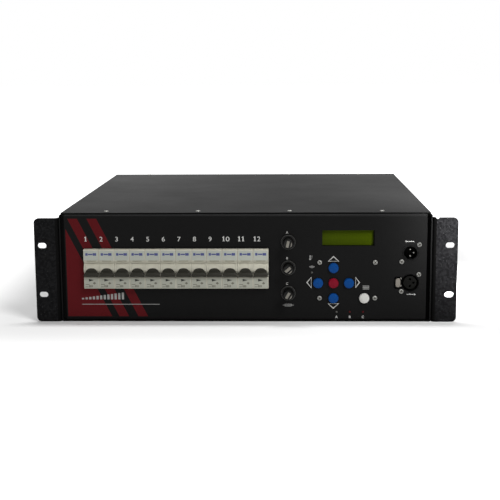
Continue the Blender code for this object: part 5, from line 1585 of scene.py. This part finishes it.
def pictograms():
    """Plain signs: level bars, a menu list, a fuse, a thermometer, a wave and signal arrows."""
    bars = []
    for index in range(LEVEL_BARS):
        left = LEVEL_LEFT + index * LEVEL_PITCH
        right = left + LEVEL_WIDTH
        top = LEVEL_LOW + LEVEL_FIRST + LEVEL_GROWTH * index / (LEVEL_BARS - 1)
        bars.append(printed([(left, LEVEL_LOW), (right, LEVEL_LOW), (right, top), (left, top)]))
    sign("level_bars", together(bars))
    sign("level_rule", stroke(0.090, 0.0007, 0.0003, -0.1435, 0.0205))
    lines = [stroke(0.0075, 0.0008, 0.0003, 0.1380, z) for z in (0.0385, 0.0402, 0.0419)]
    sign("menu_sign", together(lines))
    x = middle("fuse_holder_c").x
    hollow = slab(0.0070, 0.0018, 0.0003, (x, FUSE_SIGN_Z), THROUGH_PRINT)
    body = cut(stroke(0.0080, 0.0028, 0.0004, x, FUSE_SIGN_Z), hollow)
    sign("fuse_sign", body, stroke(0.0128, 0.0005, 0.0002, x, FUSE_SIGN_Z))
    stem = stroke(0.0011, 0.0040, 0.0005, HEAT_SIGN_X, 0.0757)
    bulb = printed(circle(0.0012, (HEAT_SIGN_X, 0.0733), 24))
    ticks = [
        stroke(0.0012, 0.0004, 0.0001, HEAT_SIGN_X + 0.0020, z) for z in (0.0745, 0.0757, 0.0769)
    ]
    sign("heat_sign", stem, bulb, together(ticks))
    wave = []
    for step, height in enumerate((0.0010, 0.0022, 0.0032, 0.0022, 0.0010)):
        wave.append(stroke(0.0008, height, 0.0003, 0.0738 + step * 0.0013, 0.0643))
    sign("status_sign", together(wave))
    for name, x, z, side in SIGNAL_ARROWS:
        tip = x + side * 0.0064
        foot = tip - side * 0.0022
        head = printed([(tip, z), (foot, z + 0.0014), (foot, z - 0.0014)])
        sign(f"{name}_arrow_sign", stroke(0.0084, 0.0009, 0.0002, x, z), head)


# Rear

FAN_SCREW = 0.0715 / 2
FAN_CORNER = 0.004
FAN_FLANGE = 0.004
FAN_WAIST = 0.0405
FAN_STEPS = 96
FAN_STRUTS = 4
FAN_BLADES = 7
HUB_RADIUS = 0.0175
BLADE_TIP = 0.0365
GUARD_RADII = (0.0100, 0.0185, 0.0270, 0.0355)
GUARD_WIRE = 0.0009
GUARD_RISE = 0.0042
GUARD_EYE = 0.0034
GUARD_FOOT = 0.0011


def fan_frame(side):
    """A square frame with flanges front and rear, four struts and a motor hub."""
    node = f"fan_frame_{side}"
    low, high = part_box(node)
    size = high.x - low.x
    depth = high.y - low.y
    body = slab(size, size, FAN_CORNER, (0, 0), (0, depth))
    screw_hole = hole(0.0022, 0, 0, 0, 0.05, 24)
    body = cut(body, copies(screw_hole, corners(FAN_SCREW, FAN_SCREW)))
    body = cut(body, plate(circle(FAN_BORE, segments=FAN_STEPS), -0.01, depth + 0.01))
    round_waist = slab(1.2 * size, 1.2 * size, 0.001, (0, 0), (FAN_FLANGE, depth - FAN_FLANGE))
    round_waist = cut(round_waist, plate(circle(FAN_WAIST, segments=FAN_STEPS), 0, depth))
    # The waist comes last, because holes cut after it get faces that vary from run to run
    body = cut(body, round_waist)
    strut = block((0.015, depth - 0.003, -0.0021), (FAN_BORE + 0.001, depth - 0.0004, 0.0021))
    struts = all_round(softened(strut, 0.0005), FAN_STRUTS, 0.4)
    hub = [(0, 0.0006), (0.0150, 0.0006)] + rounded_rim(0.0165, 0.0010, 0.0006, 4)[1:]
    hub += [(0.0165, 0.0034), (0, 0.0034)]
    motor = moved(lathe(hub, way=1), 0, depth - 0.004, 0)
    parts = [(body, BLACK), (struts, BLACK), (motor, BLACK)]
    centre = middle(node)
    place = (centre.x, low.y, centre.z)
    piece(f"fan_{side}_frame", parts, replaces=[node], place=place, even=True)


def fan_blade(depth):
    """A swept, twisted blade from the hub out."""
    sheet = bmesh.new()
    bmesh.ops.create_grid(sheet, x_segments=6, y_segments=8, size=0.5)
    for vert in sheet.verts:
        span, chord = vert.co.x + 0.5, vert.co.y
        radius = HUB_RADIUS + span * (BLADE_TIP - HUB_RADIUS)
        pitch = math.radians(52 - 20 * span)
        width = 0.0185 + 0.002 * span
        camber = 0.0016 * (1 - (2 * chord) ** 2)
        away = chord * width * math.sin(pitch) + camber * math.cos(pitch)
        along = chord * width * math.cos(pitch) - camber * math.sin(pitch)
        angle = along / 0.030 + 0.18 * span
        vert.co = (radius * math.cos(angle), depth / 2 + away, radius * math.sin(angle))
    return modified(sheet, "SOLIDIFY", {"thickness": 0.0013, "offset": 0})


def fan_rotor(side):
    """Seven blades on a hub with a bevelled front edge."""
    low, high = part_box(f"fan_rotor_{side}")
    depth = high.y - low.y - 0.002
    rim = HUB_RADIUS + 0.0010
    hub = lathe([(0, 0), (HUB_RADIUS, 0), (rim, 0.0010), (rim, depth), (0, depth)], way=1)
    parts = [(hub, BLACK), (all_round(fan_blade(depth), FAN_BLADES), BLACK)]
    centre = middle(f"fan_frame_{side}")
    place = (centre.x, low.y, centre.z)
    piece(f"fan_{side}_rotor", parts, f"rotor_{side}", [f"fan_rotor_{side}"], place)


def fan_guard(side):
    """A finger guard of four wire rings on four spokes that end in eyes at the screws."""
    centre = middle(f"fan_frame_{side}")
    parts = [moved(wire_ring(radius, GUARD_WIRE), y=GUARD_RISE) for radius in GUARD_RADII]
    reach = FAN_SCREW * math.sqrt(2)
    spoke_y = GUARD_RISE - 0.0014
    bends = ((0.0060, spoke_y), (0.0400, spoke_y), (reach - 0.0030, GUARD_FOOT))
    for turn in range(4):
        angle = QUARTER * turn + QUARTER / 2
        x, z = math.cos(angle), math.sin(angle)
        inner, knee, foot = [(away * x, y, away * z) for away, y in bends]
        parts += [rod(GUARD_WIRE, inner, knee), rod(GUARD_WIRE, knee, foot)]
        parts.append(moved(wire_ring(GUARD_EYE, GUARD_WIRE), reach * x, GUARD_FOOT, reach * z))
    piece(f"fan_{side}_guard", [(together(parts), CHROME)], place=(centre.x, REAR_Y, centre.z))
    around = corners(FAN_SCREW, FAN_SCREW, (centre.x, centre.z))
    places = [(x, REAR_Y + 0.0018, z) for x, z in around]
    screws(f"fan_{side}_screw", PANEL_SCREW, "rear", places)


OUTPUT_FLANGE = 0.052
OUTPUT_FLANGE_BACK = 0.0033
OUTPUT_SCREW = 0.0205
# Profiles of (radius, reach) behind the rear panel
OUTPUT_SHELL = (
    (0.0200, 0.002), (0.0200, 0.0154), (0.0206, 0.0160), (0.0219, 0.0160), (0.0225, 0.0154),
    (0.0225, 0.0122), (0.0219, 0.0116), (0.0219, 0.0066), (0.0225, 0.0060), (0.0225, 0.0034),
    (0.0195, 0.0034), (0.0195, -0.022), (0, -0.022), (0, 0.0005), (0.0200, 0.0005), (0.0200, 0.002),
)
OUTPUT_INSERT = ((0, 0.0050), (0.0185, 0.0050), (0.0192, 0.0044), (0.0192, 0.0006), (0, 0.0006))
# Turn and width of each key inside the shell
OUTPUT_KEYS = ((QUARTER, 0.0032), (3.6, 0.0022), (5.4, 0.0022))


def output_socket(side):
    """A multi-pole load outlet: flange, keyed shell with a bayonet ramp, and nineteen contacts."""
    node = f"output_socket_{side}"
    centre = middle(node)
    flange = slab(OUTPUT_FLANGE, OUTPUT_FLANGE, 0.004, (0, 0), (SHEET_GAP, OUTPUT_FLANGE_BACK))
    flange = cut(softened(flange, 0.0004), hole(0.0196, 0, 0, 0, 0.01))
    contacts = [(0, 0)] + circle(0.0070, segments=6) + circle(0.0135, segments=12)
    wells = copies(hole(0.0017, 0, 0, 0.005, 0.003, 20), contacts)
    insert = cut(lathe(OUTPUT_INSERT, 72, way=1), wells)
    socket = lathe(tube(0.0008, 0.0013, 0.0022, 0.0046), 16, way=1)
    keys = []
    for angle, width in OUTPUT_KEYS:
        key = block((0.0186, 0.006, -width / 2), (0.0202, 0.0145, width / 2))
        keys.append(turned_by(key, -angle, "Y"))
    parts = [
        (lathe(OUTPUT_SHELL, 72, way=1), BLACK),
        (flange, BLACK),
        (insert, DEEP),
        (copies(socket, contacts), TIN),
        (together(keys), BLACK),
    ]
    place = (centre.x, REAR_Y, centre.z)
    piece(f"load_socket_{side}", parts, replaces=[node], place=place)
    around = corners(OUTPUT_SCREW, OUTPUT_SCREW, (centre.x, centre.z))
    places = [(x, REAR_Y + OUTPUT_FLANGE_BACK, z) for x, z in around]
    screws(f"load_socket_{side}_screw", PANEL_SCREW, "rear", places)


GLAND_BORE = 0.0105
GLAND_DOME = 0.0178
GLAND_FOOT = 0.0072
GLAND_THREAD = 0.0160
GLAND_NUT = 0.0205
GLAND_FLUTES = 12
GLAND_SEAL = (
    (0.0096, 0.0060), (0.0096, 0.0276), (0.0104, 0.0280), (0.0104, 0.0060), (0.0096, 0.0060),
)


def cable_gland():
    """A clamping gland: fluted dome nut, hexagon, rubber seal, thread and the locknut inside."""
    centre = middle("cable_gland")
    dome = [(GLAND_BORE, GLAND_FOOT), (GLAND_BORE, 0.0285), (0.0120, 0.0300)]
    dome += quarter_curve((0.0135, 0.0300), 0.0043, 0.0115, 8)
    dome += [(GLAND_DOME, 0.0078), (0.0172, GLAND_FOOT), (GLAND_BORE, GLAND_FOOT)]
    flute = rod(0.0016, (0.0188, 0.0060, 0), (0.0188, 0.0220, 0))
    nut = cut(lathe(dome, 72, way=1), all_round(flute, GLAND_FLUTES))
    outline = circle(GLAND_NUT, segments=6)
    bore = GLAND_THREAD + 0.0001
    hexagon = softened(plate(outline, SHEET_GAP, 0.0073), 0.0006)
    hexagon = cut(hexagon, hole(bore, 0, 0, 0.004, 0.02))
    locknut = cut(plate(outline, -0.0083, -0.0023), hole(bore, 0, 0, -0.005, 0.02))
    thread = tube(GLAND_BORE, GLAND_THREAD, -0.0140, 0.0071)
    parts = [
        (nut, BLACK),
        (hexagon, BLACK),
        (lathe(GLAND_SEAL, way=1), RUBBER),
        (lathe(thread, way=1), BLACK),
        (softened(locknut, 0.0004), BLACK),
    ]
    piece("mains_gland", parts, replaces=["cable_gland"], place=(centre.x, REAR_Y, centre.z))


INSIDE = {
    "din_rail": ZINC,
    "control_board": BOARD,
    "heat_sink": ALUMINIUM,
    "power_board": BOARD,
    "choke_bank": COPPER,
    "control_transformer": CORE,
    "mains_terminal": TERMINAL,
}


# Stage, light and camera

FLOOR_WHITE = (0.8, 0.8, 0.8)
# The floor's own glow beside the object and far from it, and the distances where it starts and ends
FLOOR_GLOW = (0.02, 1.0)
GLOW_SPAN = (0.02, 0.27)
ROOM_LIGHT = 0.2
WHITE = (1, 1, 1)


def distance_outside(nodes):
    """How far a floor point lies outside the object's footprint."""
    half = (abs(cad_box[1].x), abs(cad_box[1].y), 0)
    past = nodes.vector("SUBTRACT", nodes.vector("ABSOLUTE", nodes.place()), half)
    return nodes.vector("LENGTH", nodes.vector("MAXIMUM", past), output="Value")


def stage():
    """A white floor that keeps the shadow beside the object and glows farther off."""
    shape = bmesh.new()
    bmesh.ops.create_grid(shape, x_segments=1, y_segments=1, size=12)
    floor = put("floor", mesh_of(shape, "floor"))
    paper = bpy.data.materials.new("white_floor")
    nodes = Nodes(paper)
    nodes.tree.nodes.clear()
    rays = nodes.node("ShaderNodeLightPath", {}, {})
    direct = nodes.maths("MAXIMUM", rays.output("Is Camera Ray"), rays.output("Is Glossy Ray"))
    spread = nodes.between(distance_outside(nodes), *GLOW_SPAN, *FLOOR_GLOW, "SMOOTHSTEP")
    diffuse = nodes.node("ShaderNodeBsdfDiffuse", {}, {"Color": FLOOR_WHITE})
    glow = nodes.node("ShaderNodeEmission", {}, {"Strength": direct * spread})
    nodes.surface("Material", nodes.node("ShaderNodeAddShader", {}, {0: diffuse, 1: glow}))
    floor.data.materials.append(paper)


# Name, place, what it is aimed at, its two sides and its power
LAMPS = (
    ("key_right", (0.75, -1.25, 1.45), (0.0, -0.2, 0.05), (0.6, 0.6), 19),
    ("overhead", (0.0, FACE_Y + 0.315, 2.0), (0.0, FACE_Y + 0.315, 0.0), (0.9, 0.27), 24),
)
ACCENT_PLACE = (0.95, -1.30, 0.95)
# Name, what it is aimed at, its cone in degrees and its power; matt light only
ACCENTS = (
    ("ear_accent", (0.326, FACE_Y, 0.184), 8.8, 2200),
    ("side_accent", (0.165, FACE_Y, 0.085), 12, 34),
)


def hung(name, kind, power, place, target):
    """A light that is aimed at a place and that the camera doesn't see."""
    light = bpy.data.lights.new(name, kind)
    light.energy = power
    lamp = put(name, light)
    lamp.location = place
    aim = Vector(target) - Vector(place)
    lamp.rotation_euler = aim.to_track_quat("-Z", "Y").to_euler()
    lamp.visible_camera = False
    return lamp


def studio():
    """A white room that the camera and gloss see at full white, and soft lamps."""
    world = bpy.data.worlds.new("white_room")
    bpy.context.scene.world = world
    nodes = Nodes(world)
    nodes.tree.nodes.clear()
    room = nodes.node("ShaderNodeBackground", {}, {"Color": WHITE, "Strength": ROOM_LIGHT})
    seen = nodes.node("ShaderNodeBackground", {}, {"Color": WHITE, "Strength": 1.0})
    rays = nodes.node("ShaderNodeLightPath", {}, {})
    clear = nodes.maths("MAXIMUM", rays.output("Is Glossy Ray"), rays.output("Is Transmission Ray"))
    direct = nodes.maths("MAXIMUM", rays.output("Is Camera Ray"), clear)
    nodes.surface("World", nodes.node("ShaderNodeMixShader", {}, {0: direct, 1: room, 2: seen}))
    for name, place, target, size, power in LAMPS:
        light = hung(name, "AREA", power, place, target).data
        light.shape = "RECTANGLE"
        light.size, light.size_y = size
    for name, target, cone, power in ACCENTS:
        lamp = hung(name, "SPOT", power, ACCENT_PLACE, target)
        lamp.visible_glossy = False
        lamp.data.spot_size = math.radians(cone)
        lamp.data.spot_blend = 1.0
        lamp.data.shadow_soft_size = 0.06


CAMERA_PLACE = (0.0443, FACE_Y - 1.2182, 0.2954)
CAMERA_YAW = -0.0316
CAMERA_PITCH = -0.1719
CAMERA_ROLL = -0.0064
CAMERA_LENS = 78.19


def camera():
    data = bpy.data.cameras.new("photo_view")
    data.lens = CAMERA_LENS
    data.sensor_width = 36
    data.clip_start = 0.01
    view = put("photo_view", data)
    across, along = math.sin(CAMERA_YAW), math.cos(CAMERA_YAW)
    flat, rise = math.cos(CAMERA_PITCH), math.sin(CAMERA_PITCH)
    ahead = Vector((across * flat, along * flat, rise))
    level = Vector((along, -across, 0))
    upright = level.cross(ahead)
    right = level * math.cos(CAMERA_ROLL) + upright * math.sin(CAMERA_ROLL)
    up = upright * math.cos(CAMERA_ROLL) - level * math.sin(CAMERA_ROLL)
    turn = Matrix((right, up, -ahead)).transposed().to_4x4()
    view.matrix_world = Matrix.Translation(CAMERA_PLACE) @ turn
    bpy.context.scene.camera = view


camera()
stage()
studio()
front_panel()
rear_panel()
chassis_tray()
top_cover()
rack_ear(-1, "left")
rack_ear(1, "right")
case_screws()
breakers()
fuses()
keypad()
display()
signal_inlet()
signal_link()
link_latch()
lamps()
panel_print()
pictograms()
for fan_side in SIDES:
    fan_frame(fan_side)
    fan_rotor(fan_side)
    fan_guard(fan_side)
    output_socket(fan_side)
cable_gland()
for inner_node, inner_finish in INSIDE.items():
    paint_node(inner_node, inner_finish)
bpy.context.scene.view_settings.view_transform = "Standard"
